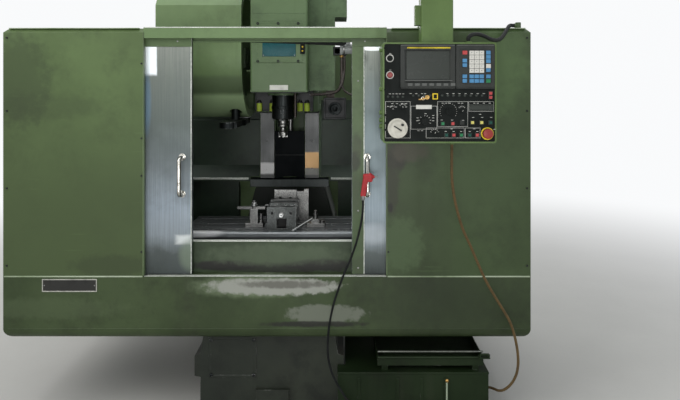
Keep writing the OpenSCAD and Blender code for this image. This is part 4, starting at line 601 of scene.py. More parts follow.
# Which nodes each finish is for
nodeFinish = (
    (bedPaint, "bed"), (columnPaint, "column magazine_frame changer_unit"),
    (railSteel, "guide_rails"),
    (screwSteel, "feet y_screw x_screw z_screw vise_screw"), (coverBlack, "rail_cover"),
    (panPaint, "chip_pan"), (leftPaint, "left_guard"), (rightShadedPaint, "right_guard"),
    (headerPaint, "header"), (apronPaint, "apron"), (wallPaint, "rear_guard"),
    (cabinetPaint, "cabinet"), (guardPaint, "pump cabinet_door"), (tankPaint, "tank chip_tray"),
    (magazinePaint, "magazine_cover"), (blackEnamel, "z_motor y_motor x_motor spindle_motor"),
    (postPaint, "pendant_post panel_case"), (lampTube, "work_lamp"),
    (doorSteel, "left_door right_door"), (handleChrome, "left_handle right_handle"),
    (gunRed, "air_gun"), (saddlePaint, "saddle"), (waySteel, "way_cover"),
    (tableSteel, "table"), (viseSteel, "vise_body vise_jaw"),
    (toolSteel, "table_clamps angle_plate tool_drum"), (headCasting, "head"),
    (hoodPaint, "head_cover"), (pipeSteel, "coolant_pipes"), (sootSteel, "spindle changer_arm"),
    (cutterSteel, "cutter"), (blackPlastic, "panel_front on_button mode_knob feed_knob"),
    (screenGlass, "screen"), (creamPlastic, "hand_wheel"), (redPlastic, "stop_button off_button"),
    (conduitJacket, "conduit"), (brownJacket, "panel_hose"), (blackJacket, "air_hose"))
finishOf = {node: finish for finish, names in nodeFinish for node in names.split()}
for node, finish in finishOf.items():
    coat(nodes[node], finish)
for name, piece in cordPieces.items():
    coat(piece, finishOf[cords[name]["node"]])
print("finishes:", len(bpy.data.materials))


# Modelling steps, as by hand: one primitive, edit mode, applied modifiers
def only(*pieces):
    if bpy.context.object and bpy.context.object.mode != "OBJECT":
        bpy.ops.object.mode_set(mode="OBJECT")
    bpy.ops.object.select_all(action="DESELECT")
    for piece in pieces:
        piece.select_set(True)
        bpy.context.view_layer.objects.active = piece


def modify(piece, kind, **settings):
    only(piece)
    made = piece.modifiers.new(kind, kind)
    for key, value in settings.items():
        setattr(made, key, value)
    bpy.ops.object.modifier_apply(modifier=made.name)
    return piece


def editFaces(piece, test, *steps):
    only(piece)
    bpy.ops.object.mode_set(mode="EDIT")
    bpy.ops.mesh.select_mode(type="FACE")
    bpy.ops.mesh.select_all(action="DESELECT")
    shape = bmesh.from_edit_mesh(piece.data)
    for face in shape.faces:
        face.select_set(test(face.calc_center_median(), face.normal))
    bmesh.update_edit_mesh(piece.data)
    for step in steps:
        step()
    bpy.ops.object.mode_set(mode="OBJECT")
    return piece


def inset(wide, deep=0.0):
    return lambda: bpy.ops.mesh.inset(thickness=wide / 1000, depth=deep / 1000)


# Faces drawn in by a first width, then drawn in and stepped, once or more, in millimetres
def lipped(piece, test, *sizes):
    steps = []
    for first, second, deep in zip(sizes[0::3], sizes[1::3], sizes[2::3]):
        steps += [inset(first), inset(second, deep)]
    return editFaces(piece, test, *steps)


def dropFaces():
    bpy.ops.mesh.delete(type="FACE")


flat = 0.995
def front(centre, normal): return normal.y < -flat
def rear(centre, normal): return normal.y > flat
def upper(centre, normal): return normal.z > flat
def under(centre, normal): return normal.z < -flat
def ends(centre, normal): return abs(normal.x) > flat


# The new primitive gets its name, its place goes into the mesh, and its edges are softened
def fresh(name, soft, rounds, **settings):
    piece = bpy.context.object
    piece.name = piece.data.name = name
    only(piece)
    bpy.ops.object.transform_apply(location=True, rotation=True, scale=True)
    if soft:
        modify(piece, "BEVEL", width=soft / 1000, segments=rounds, limit_method="ANGLE",
               **settings)
    return piece


# A block between two corners, in millimetres
def slab(name, low, high, soft=1.0, rounds=2):
    only()
    centre = [(a + b) / 2000 for a, b in zip(low, high)]
    size = [(b - a) / 1000 for a, b in zip(low, high)]
    bpy.ops.mesh.primitive_cube_add(size=1, location=centre, scale=size)
    return fresh(name, soft, rounds)


# A round part between two points, in millimetres
def rod(name, start, end, radius, soft=1.0, sides=32, rounds=2, tip=None):
    only()
    a, b = Vector(start) / 1000, Vector(end) / 1000
    bpy.ops.mesh.primitive_cone_add(
        vertices=sides, radius1=radius / 1000, radius2=(radius if tip is None else tip) / 1000,
        depth=(b - a).length, location=(a + b) / 2,
        rotation=(b - a).to_track_quat("Z", "Y").to_euler())
    piece = fresh(name, soft, rounds, angle_limit=math.radians(50))
    only(piece)
    bpy.ops.object.shade_smooth_by_angle(angle=math.radians(35))
    return piece


def join(name, *pieces):
    only(*pieces)
    if len(pieces) > 1:
        bpy.ops.object.join()
    piece = bpy.context.view_layer.objects.active
    piece.name = piece.data.name = name
    return piece


# Copies of one modelled piece, each with its own mesh, joined to a single piece
def stamp(name, model, spots):
    made = []
    for spot in spots:
        mesh = model.data.copy()
        mesh.transform(spot if isinstance(spot, Matrix) else
                       Matrix.Translation(Vector(spot) / 1000))
        made.append(bpy.data.objects.new(name, mesh))
        bpy.context.collection.objects.link(made[-1])
    bpy.data.objects.remove(model)
    return join(name, *made)


def turned(spot, axis, angle):
    return Matrix.Translation(Vector(spot) / 1000) @ Matrix.Rotation(math.radians(angle), 4, axis)


# The last step of every piece: its finish and the body it rides on
def place(piece, material, body="root"):
    coat(piece, material)
    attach(piece, body)
    return piece


# Single softened blocks, each with one lipped side
def blocks(body, rows):
    for name, low, high, soft, rounds, test, lip, material in rows:
        place(lipped(slab(name, low, high, soft, rounds), test, *lip), material, body)


# Operator panel: u runs right from its left edge, v down from its upper edge
panel = {"left": 520.0, "top": 1780.0, "face": -1232.0, "keyPitch": (21, 20), "wheel": (62, 374)}


def spotOn(u, v, out=0.0):
    return (panel["left"] + u, panel["face"] - out, panel["top"] - v)


# Heights as the part's source has them, on this panel's scale
def cadV(v): return 8.6 + 0.9435 * v


def plate(name, u0, u1, v0, v1, out, back=0.0, soft=0.6, rounds=2):
    return slab(name, spotOn(u0, v1, out), spotOn(u1, v0, -back), soft, rounds)


def onPanel(piece, material):
    place(piece, material, "panel")


def copies(name, model, spots, material, out=0.0):
    onPanel(stamp(name, model, [spotOn(u, v, out) for u, v in spots]), material)


keyGrey = coated("keyGrey", (0.12, 0.125, 0.118), dark=0.6, rough=0.5)
keyPale = coated("keyPale", (0.66, 0.65, 0.6), dark=0.65, rough=0.45, grime=0.35)
keyBlue = coated("keyBlue", (0.085, 0.25, 0.45), dark=0.6, rough=0.42, grime=0.45)
keyRed = coated("keyRed", (0.5, 0.075, 0.075), rough=0.42)
keyGreen = coated("keyGreen", (0.03, 0.2, 0.085), rough=0.42)
lampYellow = coated("lampYellow", (0.66, 0.6, 0.17), rough=0.35)
lampOff = coated("lampOff", (0.012, 0.075, 0.055), rough=0.3)
legendPale = coated("legendPale", (0.74, 0.74, 0.69), rough=0.6, grime=0.6, dark=0.35)
frameGrey = coated("frameGrey", (0.03, 0.033, 0.03), rough=0.42, wear=0.5,
                   edgeTone=(0.22, 0.22, 0.21))
bandYellow = coated("bandYellow", (0.66, 0.52, 0.035), dark=0.25, rough=0.4, grime=0.7)
ringChrome = chrome("ringChrome")
nutDark = coated("nutDark", (0.05, 0.06, 0.052), rough=0.35, metal=0.6, grime=0.6)
ringPale = coated("ringPale", (0.62, 0.62, 0.58), rough=0.36, grime=0.3)
stopRed = coated("stopRed", (0.3, 0.028, 0.022), rough=0.34, grime=0.5, gloss=0.4)
stopYellow = coated("stopYellow", (0.85, 0.62, 0.045), dark=0.5, rough=0.38, grime=0.5)
creamFace = coated("creamFace", (0.64, 0.62, 0.54), dark=0.4, rough=0.36, grime=0.5, wear=0.15)

# Frame round the display, sunk to its glass, and the keyboard's tray beside it
bezel = plate("displayBezel", 74, 304, 14, 190, 8.5, 0.0, 1.6, 3)
editFaces(bezel, front, inset(15.5), inset(4.5, -3.0), inset(1.2, -5.0), dropFaces)
onPanel(bezel, frameGrey)
tray = plate("keyTray", 308, 470, 14, 190, 7.0, 0.0, 1.6, 3)
onPanel(lipped(tray, front, 12.5, 1.2, -1.6), frameGrey)
for name, u0, u1 in (("bezelLip", 76, 303), ("trayLip", 310, 469)):
    onPanel(plate(name, u0, u1, 10.5, 14.2, 7.5, 0, 0.8), keyGrey)
    onPanel(plate(name + "Low", u0, u1, 190, 195, 9.0, 0, 1.2), frameGrey)
onPanel(plate("screenBand", 102, 284, 20.5, 26.5, 9.4, -8, 0.5), bandYellow)
onPanel(plate("screenRidge", 92, 292, 159.5, 163.5, 10.0, -5, 1.2), keyGrey)

# Keys: one cap for each width, its top dished, then copied
du, dv = panel["keyPitch"]
keyOut = 10.2
keyRows = {
    "softKeys": (keyGrey, 19, 10.5, [(104.5 + 30 * k, 172.5) for k in range(7)]),
    "redKey": (keyRed, 19.6, 15.4, [(334, 28)]),
    "blueKeys": (keyBlue, 18.2, 15.2, [(334, v) for v in (64, 84, 134, 154)]
                 + [(363 + du * c, 134 + dv * r) for r in range(2) for c in range(3)]
                 + [(433, v) for v in (28, 47, 66, 106, 134)]),
    "paleKeys": (keyPale, 19.0, 16.8, [(363 + du * c, 28 + dv * r) for r in range(5)
                                       for c in range(3)] + [(433, 87)]),
    "greenKey": (keyGreen, 18.2, 15.2, [(433, 154)]),
}
for name, (material, wide, high, spots) in keyRows.items():
    cap = slab("cap", (-0.3, -keyOut, -high - 0.3), (wide + 0.3, -1, 0.3))
    copies(name, lipped(cap, front, 2.2, 1.4, -0.5),
           [(u + 0.6, cadV(v) + 0.9) for u, v in spots], material)
dot = slab("dot", (-2.2, -0.25, -0.8), (2.2, 0.1, 0.8), 0.2, 1)
copies("keyDots", dot, [(372.5 + du * c, cadV(28 + dv * r) + 8.5) for r in range(5)
                        for c in range(3)], frameGrey, keyOut - 0.05)

# Thin pale lines that part the lower fields, and the short dashes over the switches
lines = []
for field in ((11, 116, 249, 403), (118, 228, 268, 366), (230, 358, 249, 355),
              (361, 467, 249, 291), (182, 343, 360, 403), (347, 410, 360, 403)):
    line = plate("line", *field, 2.35, -1.4, 0)
    editFaces(line, front, inset(1.1), dropFaces)
    lines.append(editFaces(line, rear, dropFaces))
onPanel(join("fieldLines", *lines), legendPale)
legendOut = 2.2
dash = slab("dash", (-4.5, -0.35, -1.0), (4.5, 0.3, 1.0), 0.3, 1)
dashRows = {
    47: (31,), 117: (31,), 217: (30, 44, 58, 72, 86),
    216: (117, 141, 165, 178, *(272 + 25.5 * k for k in range(7))), 258: (40, 60, 82, 98),
    256: (252, 266, 280, 320, 334, 385, 400, 425, 450), 270: (22, 36), 272: (56, 98),
    300: (180,), 303: (410,), 308: (212,), 316: (380, 418, 456), 318: (146, 212),
    327: (248, 292), 328: (338,), 330: (146, 212), 364: (290, 385), 366: (425, 470),
    372: (165, 150), 375: (265, 298, 330, 366, 398)}
copies("legendDashes", dash, [(u, v) for v, row in dashRows.items() for u in row], legendPale,
       legendOut)

# Ticks round the two dials and the small selectors: centre, radii, angles
selectors = ((42, 281.3, 0), (84, 273.7, -20), (333, 290, 30), (218, 381.3, 35))
small = (-50, -25, 0, 25, 50)
ticks = [turned(spotOn(u, v, legendOut), "Y", a) @ Matrix.Translation((0, 0, r / 1000))
         for u, v, radii, angles in ((276, 290.7, (23, 31), range(-120, 121, 15)),
             (177, 332, (21,), (-110, -80, -45, 0, 25, 50, 80, 110)),
             (218, 381, (13,), range(-75, 76, 30)),
             (42, 281.3, (11,), small), (84, 273.7, (11,), small), (333, 283, (11,), small))
         for r in radii for a in angles]
tick = slab("tick", (-0.8, -0.3, 0), (0.8, 0.3, 6.0), 0.2, 1)
onPanel(stamp("dialTicks", tick, ticks), legendPale)

# Selector levers with pale tips, and the toggles of the upper row
lever = rod("lever", (0, -2, 0), (0, -17, 0), 5.5, 1.2, 20)
copies("selectorKnobs", lipped(lever, front, 1.5, 0.8, -0.8), [(u, v) for u, v, _ in selectors],
       blackPlastic)
tip = slab("tip", (-1.1, -17.6, -1), (1.1, -16.4, 5), 0.4, 1)
onPanel(stamp("selectorTips", tip, [turned(spotOn(u, v), "Y", a) for u, v, a in selectors]),
        legendPale)
toggles = [(u, cadV(228)) for u in (*range(128, 201, 24), *range(250, 419, 24))]
toggles += [(u, 229) for u in (22.5, 42.5, 63.5, 85)]
copies("toggleNuts", rod("nut", (0, -0.5, 0), (0, -4.6, 0), 5.6, 0.8, 6), toggles, nutDark)
copies("toggleSticks", rod("stick", (0, -4, 0), (0, -17.5, 2.5), 1.8, 0.6, 14, tip=2.9), toggles,
       frameGrey)

# Lamps and lit buttons, each in its dark collar; those of the last row stand out further
lastRow = 390
buttons = ((252, 342, keyGreen), (294.5, 342, keyRed), (334, 338, frameGrey),
           (377, 337.5, lampYellow), (415.5, 337.5, lampYellow), (453.5, 337.5, lampOff),
           (267.5, lastRow, lampOff), (298.5, lastRow, keyRed), (330, lastRow, keyGreen),
           (365.5, lastRow, lampOff), (396.5, lastRow, keyRed), (453, 214.5, keyRed),
           (453, 231.5, keyRed))
rim = lipped(slab("rim", (-9, -6.5, -9), (9, 0, 9)), front, 2.2, 0.4, -3)
copies("buttonRims", rim, [(u, v) for u, v, _ in buttons], frameGrey)
for k, (u, v, material) in enumerate(buttons):
    cap = plate("litButton" + str(k), u - 6.3, u + 6.3, v - 6.3, v + 6.3,
                10.8 if v == lastRow else 9.0, -3, 1.2, 3)
    onPanel(lipped(cap, front, 1.8, 1.0, -0.4), material)

# Rings of the push buttons, the yellow ring of the stop and its mushroom cap
for name, u, v, inner, outer, out, material in (
        ("onRing", 30, cadV(62), 12.4, 16.5, 6.5, ringPale),
        ("offRing", 30, cadV(137), 12.4, 16.5, 6.5, ringPale),
        ("stopRing", 440, cadV(398), 20.8, 26.4, 4.6, stopYellow)):
    ring = rod(name, spotOn(u, v), spotOn(u, v, out), outer, 1.2, 48)
    onPanel(editFaces(ring, front, inset(outer - inner - 2.4), inset(1.2, -1.4), dropFaces),
            material)
mushroom = rod("stopCap", spotOn(440, cadV(398), 11.8), spotOn(440, cadV(398), 23.4), 21.4, 4.6,
               56, 5)
place(lipped(mushroom, front, 4.0, 2.0, 0.6), stopRed, "stop_button")

# Yellow square of the lock, the blank label, the dark lamp window and the knobs down the edge
for name, field, out, back, soft, rounds, lip, material in (
        ("lockSquare", (208.5, 231.5, 214.5, 240.5), 9.2, 0, 2.2, 3, (2, 1, -5), stopYellow),
        ("lockCore", (213.2, 226.8, 219.2, 235.8), 9.0, -2, 1.6, 3, (3, 1, -2), blackPlastic),
        ("blankLabel", (140, 206, 263.5, 281), 3.0, -2, 0.8, 2, (1.4, 0.4, -0.3), keyPale),
        ("lampWindow", (363, 466, 260.5, 287.5), 4.6, 0, 1.2, 2, (3, 0.8, -2.2), screenGlass)):
    onPanel(lipped(plate(name, *field, out, back, soft, rounds), front, *lip), material)
knob = rod("knob", (0, -1, 0), (0, -9, 0), 5.0, 1.2, 20, tip=4.2)
copies("sideKnobs", lipped(knob, front, 1.2, 0.6, -0.8),
       [(9.5, v) for v in (24, 200, 306, 340, 368)], blackPlastic)

# A lock barrel with a small key left in it
lock = rod("lockBarrel", spotOn(168, 236), spotOn(168, 236, 9), 8, 1.0, 24)
onPanel(lipped(lock, front, 2, 0.6, -1), ringChrome)
shank = plate("keyShank", 150, 172, 237.5, 242.5, 15, -9.5, 1.0)
bow = rod("keyBow", spotOn(186, 231, 9.5), spotOn(186, 231, 13.0), 9.5, 0.9, 24)
neck = plate("keyNeck", 168, 182, 233, 239, 13.2, -9.7, 0.9)
onPanel(join("lockKey", shank, lipped(bow, front, 3, 1, -0.8), neck), brass)

# The hand wheel: dished disc, raised rim, folding bar and small crank
wheelU, wheelV = panel["wheel"][0], cadV(panel["wheel"][1])
crankU, crankV = wheelU + 18.5, wheelV - 15.5
wheel = rod("handWheel", spotOn(wheelU, wheelV, 3.0), spotOn(wheelU, wheelV, 16.5), 42.0, 3.0,
            72, 4)
lipped(wheel, front, 4, 1.5, -2.2, 16.5, 1.5, 1.6)
axle = rod("axle", spotOn(wheelU, wheelV, 3.2), spotOn(wheelU, wheelV, -13), 12, 0.8)
grip = rod("crank", spotOn(crankU, crankV, 12), spotOn(crankU, crankV, 37), 4.6, 1.4, 24, tip=5.6)
fold = slab("foldBar", (-19, -18.6, -3.0), (19, -12, 3.0), 1.2, 3)
fold.data.transform(turned(spotOn(wheelU, wheelV), "Y", 32))
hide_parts("hand_wheel")
place(wheel, creamFace, "hand_wheel")
place(join("wheelFittings", axle, grip, lipped(fold, front, 1.6, 0.6, -0.8)), frameGrey,
      "hand_wheel")
print("operator panel dressed")


# Doors: painted strips with a folded lip, and the worn hem of the leading edge
doorLook = {"face": -932.0, "top": 1828.0, "strip": 47.0, "low": 711.0,
            "handleEnds": (1088, 1262)}
wornEdge = bareSteel("wornEdge", "brushed", colour=(0.66, 0.67, 0.64),
                     dark=(0.3, 0.33, 0.28), oil=0.5, grain=(1, 1, 0.35), rough=0.42)
doorPaint = enamel("doorPaint", "guard", ((0.09, 0.14, 0.058), (0.112, 0.17, 0.074),
                   (0.045, 0.068, 0.032)), foot=(0.7, 0.8, 1.7), marks=(
    (0.406, 1.245, 0.035, 0.05, 0.75, (0.022, 0.022, 0.016)),
    (0.418, 1.31, 0.025, 0.055, 0.45, (0.045, 0.045, 0.03)),
    (0.41, 1.08, 0.03, 0.1, 0.35, (0.045, 0.055, 0.03)),
    (0.44, 0.75, 0.05, 0.05, 0.5, (0.04, 0.052, 0.028))))
face, top, foot = doorLook["face"], doorLook["top"], doorLook["low"]
low = top - doorLook["strip"]
for name, x0, x1, stripRight in (("left", -975.0, -357.0, None),
                                 ("right", 397.0, 1015.0, 452.0)):
    body = name + "_door"
    strip = slab("strip", (x0, face - 1.2, low), (x1, face + 0.6, top - 1), 0.8)
    lip = slab("lip", (x0, face - 2.4, low - 1.0), (x1, face + 0.6, low + 2.6), 1.1, 3)
    crown = slab("crown", (x0, face - 2.2, top - 4.4), (x1, face + 0.6, top - 1), 1.1, 3)
    place(join(name + "DoorStrip", strip, lip, crown), doorPaint, body)
    if stripRight:
        place(slab(name + "DoorSide", (x0, face - 1.2, foot + 1), (stripRight, face + 0.6, low),
                   0.8), doorPaint, body)
    hemAt = stripRight or x1 - 3.2
    place(slab(name + "DoorHem", (hemAt - 1.4, face - 2.0, foot + 2),
               (hemAt + 3.4, face + 1.0, low - 1), 1.2, 3), wornEdge, body)
    bolt = rod("bolt", (0, face - 3.4, 0), (0, face + 0.4, 0), 4.2, 0.9, 6)
    spots = [(x0 + 60 + k * 164, 0, top - 22) for k in range(4)]
    if stripRight:
        spots += [(stripRight - 27, 0, z) for z in (742, 1010, 1620)]
    place(stamp(name + "DoorBolts", lipped(bolt, front, 1.4, 0.6, -1.2), spots), screwSteel, body)

# Handles: washers under the bosses and a clamp ring at each bend
for name, x in (("left", -402.0), ("right", 467.0)):
    spots = [(x, 0, z) for z in doorLook["handleEnds"]]
    washer = rod("washer", (0, -933.6, 0), (0, -931.6, 0), 16.5, 0.7, 36)
    washers = stamp("washers", lipped(washer, front, 2.0, 0.5, -0.4), spots)
    rings = stamp("rings", rod("ring", (0, -944.0, 0), (0, -938.0, 0), 11.4, 1.2), spots)
    place(join(name + "HandleWashers", washers, rings), handleChrome, name + "_door")

# Sill, apron edge and the thin worn lines where sheet meets sheet
blocks("root", (
    ("doorSill", (-574, -957.5, 707.6), (556, -937, 711.4), 1.6, 3, upper,
     (4.0, 1.2, -1.2), wornEdge),
    ("apronEdge", (-562, -891.6, 853.5), (544, -866, 859.4), 2.2, 3, upper,
     (5.0, 1.0, -0.6), wornEdge),
    ("headerLine", (-575, -957.8, 1866.6), (557, -950, 1871.0), 1.2, 3, upper,
     (1.4, 0.6, -0.3), wornEdge),
    ("headerDrip", (-575, -958.0, 1818.4), (557, -952, 1821.8), 1.2, 3, upper,
     (1.4, 0.6, -0.3), headerPaint)))

# Guards: folded rims on top, a drip edge over the pan and rows of button screws
wornRim = enamel("wornRim", "guard", ((0.165, 0.235, 0.112), (0.42, 0.48, 0.36),
                 (0.1, 0.14, 0.07)), wear=1.0)
for name, x0, x1, inner in (("left", -1227.0, -576.0, -576.0), ("right", 558.0, 1227.0, 558.0)):
    blocks("root", (
        (name + "TopRim", (x0 + 22, -955, 1863.0), (x1 - 22, -936, 1867.0), 1.4, 3, upper,
         (3.0, 1.0, -0.7), wornRim),
        (name + "LowHem", (x0 + 3, -961.4, 706.0), (x1 - 3, -957, 712.5), 1.5, 3, front,
         (1.2, 0.6, -0.3), wornRim),
        (name + "InnerFold", (inner - 2.6, -961.0, 713), (inner + 2.6, -935, 1845), 1.8, 3,
         front, (0.7, 0.5, -0.3), guardPaint)))
screw = rod("screw", (0, -964.2, 0), (0, -959.4, 0), 4.6, 1.5, 24, 3)
spots = [(-583, 0, z) for z in (1178, 1352, 1700, 824)] + [(565, 0, z) for z in (824, 1700)]
spots += [(x, 0, z) for x in (-1210, 1210) for z in (760, 1120, 1480, 1820)]
place(stamp("guardScrews", lipped(screw, front, 1.5, 0.5, -1.2), spots), blackEnamel)

# Side walls: a stiffening frame folded out of the sheet, and two hole plugs
for side, x, out, material in (("left", -1227.0, -1, leftPaint), ("right", 1227.0, 1, rightShadedPaint)):
    near, far = sorted((x - out * 0.4, x + out * 3.2))
    bars = [slab("bar", (near, y0, z0), (far, y1, z1), 1.4)
            for y0, y1, z0, z1 in ((-880, 250, 800, 822), (-880, 250, 1758, 1780),
                                   (-880, -858, 822, 1758), (228, 250, 822, 1758),
                                   (-326, -304, 822, 1758))]
    place(join(side + "WallFrame", *bars), material)
    plug = rod("plug", (x - out * 0.5, -600, 1815), (x + out * 9, -600, 1815), 15, 1.6, 28)
    lipped(plug, lambda c, n: ends(c, n) and c.x * out > 1.23, 5, 1, -4)
    place(stamp(side + "WallPlugs", plug, [(0, 0, 0), (0, 600, 0)]), blackPlastic)

# Blank plate on the pan: a dark field in its pale rim, fixed by two pins
plateLook = {"x": (-1046.0, -790.0), "z": (638.0, 698.0), "face": -960.0, "rim": 4.6}
(x0, x1), (z0, z1), face = plateLook["x"], plateLook["z"], plateLook["face"]
rim = plateLook["rim"]
plateRim = coated("plateRim", (0.42, 0.42, 0.38), rough=0.35, metal=0.8, grime=0.7)
plateField = coated("plateField", (0.03, 0.03, 0.028), rough=0.34, grime=0.7, wear=0.6,
                    edgeTone=(0.35, 0.34, 0.3))
blocks("root", (
    ("blankPlate", (x0, face - 3.0, z0), (x1, face + 0.6, z1), 1.0, 2, front,
     (3.4, 1.0, -1.2), plateRim),
    ("plateField", (x0 + rim, face - 2.4, z0 + rim), (x1 - rim, face, z1 - rim), 0.5, 2, front,
     (2.0, 0.8, -0.3), plateField)))
pin = lipped(rod("pin", (0, face - 4.4, 0), (0, face - 1, 0), 3.2, 1.1, 20, 3), front,
             1.0, 0.3, 0.2)
place(stamp("platePins", pin, [(x0 + 11, 0, 668), (x1 - 11, 0, 668)]), screwSteel)

# Pan: rolled seam over the fold of its front
seam = rod("panSeam", (-1205, -959.2, 466), (1205, -959.2, 466), 2.6, 0.8, 12)
place(lipped(seam, ends, 0.6, 0.3, 0.3), panPaint)

# Dark sheet under the header, deeper towards the right: painted shade standing for the header's
# shadowed underside
shadeSheetLook = {"x": (-352.0, 392.0), "y": (-866.5, -861.0), "top": 1818.0, "high": 8,
               "droop": (8.0, 31.0), "cuts": 20, "turnsUp": 0.96}
(x0, x1), (y0, y1), top = shadeSheetLook["x"], shadeSheetLook["y"], shadeSheetLook["top"]
(near, far), cuts, turnsUp = (shadeSheetLook[key] for key in ("droop", "cuts", "turnsUp"))
shadeSheet = slab("shadeSheet", (x0, y0, top - shadeSheetLook["high"]), (x1, y1, top), 0)
only(shadeSheet)
bpy.ops.object.mode_set(mode="EDIT")
for k in range(1, cuts):
    bpy.ops.mesh.select_all(action="SELECT")
    bpy.ops.mesh.bisect(plane_co=((x0 + (x1 - x0) * k / cuts) / 1000, 0, 0), plane_no=(1, 0, 0))
bpy.ops.object.mode_set(mode="OBJECT")
for vertex in shadeSheet.data.vertices:
    share = (vertex.co.x * 1000 - x0) / (x1 - x0)
    if vertex.co.z * 1000 < top - shadeSheetLook["high"] / 2:
        up = 1 if share < turnsUp else (1 - share) / (1 - turnsUp)
        vertex.co.z = (top - near - (far - near) * share ** 1.4 * up) / 1000
modify(shadeSheet, "BEVEL", width=0.0009, segments=2, limit_method="ANGLE")
place(shadeSheet, blackPlastic)
print("front sheet metal dressed")


# Head cover: removable plate, bare teal plate on it, switch box and blank label
tealEnamel = coated("tealEnamel", (0.01, 0.085, 0.095), rough=0.26, grime=0.5, wear=0.4,
                    edgeTone=(0.35, 0.36, 0.33))
tagWhite = coated("tagWhite", (0.72, 0.72, 0.66), dark=0.6, rough=0.45, grime=0.6)
dotYellow = coated("dotYellow", (0.62, 0.44, 0.03), rough=0.35)
capGreen = coated("capGreen", (0.46, 0.6, 0.07), rough=0.35, grime=0.6, dark=0.3)
face = -577.0
blocks("head", (
    ("hoodPlate", (-96, face - 1.4, 1719), (143, face + 0.6, 1931), 0.9, 2, front,
     (3.0, 0.8, -0.3), hoodPaint),
    ("tealPlate", (-69, face - 3.4, 1751), (107, face + 0.6, 1836), 1.0, 2, front,
     (3.0, 1.0, -0.6), tealEnamel),
    ("switchBox", (131, face - 15, 1764), (155, face + 0.6, 1816), 2.2, 3, front,
     (3.0, 1.0, -2.0), blackPlastic),
    ("blankTag", (-31, face - 1.2, 1574), (66, face + 0.6, 1600), 0.5, 2, front,
     (2.4, 0.5, -0.2), tagWhite),
    ("hoodHem", (-134.6, face - 1.2, 1564.5), (170.6, face + 14, 1572), 1.4, 3, under,
     (3, 1, 2), hoodPaint)))
for name, x, out in (("hoodLeft", -133.5, -1), ("hoodRight", 169.5, 1)):
    near, far = sorted((x, x + out * 2.4))
    blocks("head", ((name, (near, -500, 1604), (far, -360, 1930), 1.1, 2,
                     lambda c, n: ends(c, n) and c.x * out > abs(x) / 1000,
                     (8, 1, -0.4), hoodPaint),))
pin = rod("pin", (0, face - 5.2, 0), (0, face - 3.0, 0), 3.0, 1.0, 20, 3)
place(stamp("tealPins", lipped(pin, front, 1.0, 0.3, 0.3),
            [(x, 0, z) for x in (-63, 101) for z in (1757, 1830)]), screwSteel, "head")
cap = rod("cap", (0, face - 7.2, 0), (0, face - 1.0, 0), 7.0, 1.4, 28, 3)
place(stamp("hoodScrews", lipped(cap, front, 2.6, 0.8, -2.4),
            [(x, 0, z) for x in (-93.5, 14, 119.5) for z in (1726, 1925)]), blackEnamel, "head")
dot = rod("dot", (0, face - 17.5, 0), (0, face - 12, 0), 4.2, 1.0, 24)
place(stamp("switchDots", lipped(dot, front, 1.4, 0.6, 0.8),
            [(143, 0, 1779), (143, 0, 1801)]), dotYellow, "head")

# Spindle nose: clamping ring, cap screws, nozzle caps on their necks
noseLook = {"x": 18.0, "y": -336.0, "z": 1407.0, "radius": 62.0, "bolts": 6, "boltRing": 50,
            "nozzles": (-142, -68, 92, 132), "nozzleY": -277.3}
nx, ny, nz, nr = (noseLook[key] for key in ("x", "y", "z", "radius"))
ring = rod("noseRing", (nx, ny, nz + 58), (nx, ny, nz + 76), nr + 2.6, 2.2, 72, 3)
place(lipped(ring, under, 4, 1.5, -2), sootSteel, "head")
angles = [k * math.tau / noseLook["bolts"] + 0.26 for k in range(noseLook["bolts"])]
bolt = rod("bolt", (0, 0, -6), (0, 0, 3), 5.0, 1.0, 24)
place(stamp("noseBolts", lipped(bolt, under, 1.8, 0.4, -3),
            [(nx + noseLook["boltRing"] * math.cos(a), ny + noseLook["boltRing"] * math.sin(a),
              nz) for a in angles]), toolSteel, "spindle")
spots = [(nx + x, noseLook["nozzleY"], 0) for x in noseLook["nozzles"]]
nozzle = rod("nozzle", (0, 0, 1449), (0, 0, 1497), 16.2, 3.0, 32, 3)
place(stamp("nozzleCaps", lipped(nozzle, under, 5, 2, -6), spots), capGreen, "head")
neck = rod("neck", (0, 0, 1494), (0, 0, 1512), 10.5, 1.5, 24)
place(stamp("nozzleNecks", lipped(neck, upper, 3, 1, -1), spots), sootSteel, "head")

# Carrier plate behind the nozzles, valve box beside the nose, socket of the coolant pipes
blocks("head", (
    ("nozzleCarrier", (-150, -268.5, 1448), (186, -262.6, 1564), 2.2, 3, front,
     (6, 1.6, -2.0), blackEnamel),
    ("noseSkirt", (-128, -570, 1557), (164, -300, 1565.5), 2.0, 2, under,
     (10, 2, -3), blackEnamel),
    ("valveCover", (250, -434, 1411), (374, -428.5, 1531), 2.0, 3, front,
     (6, 2, -3), blackEnamel),
    ("socketShell", (303, -484, 1762), (378, -448, 1808), 2.4, 3, front,
     (6, 1.5, -2), blackEnamel)))
knobBase = rod("knobBase", (312, -452, 1470), (312, -432, 1470), 35.5, 3.0, 48, 3)
place(lipped(knobBase, front, 6, 3, -4, 10, 2, 4), sootSteel, "head")
gland = rod("gland", (0, 0, 1750), (0, 0, 1768), 14, 2.0, 6)
place(stamp("pipeGlands", lipped(gland, under, 3, 1, 3), [(350, -466, 0)]), brass, "head")

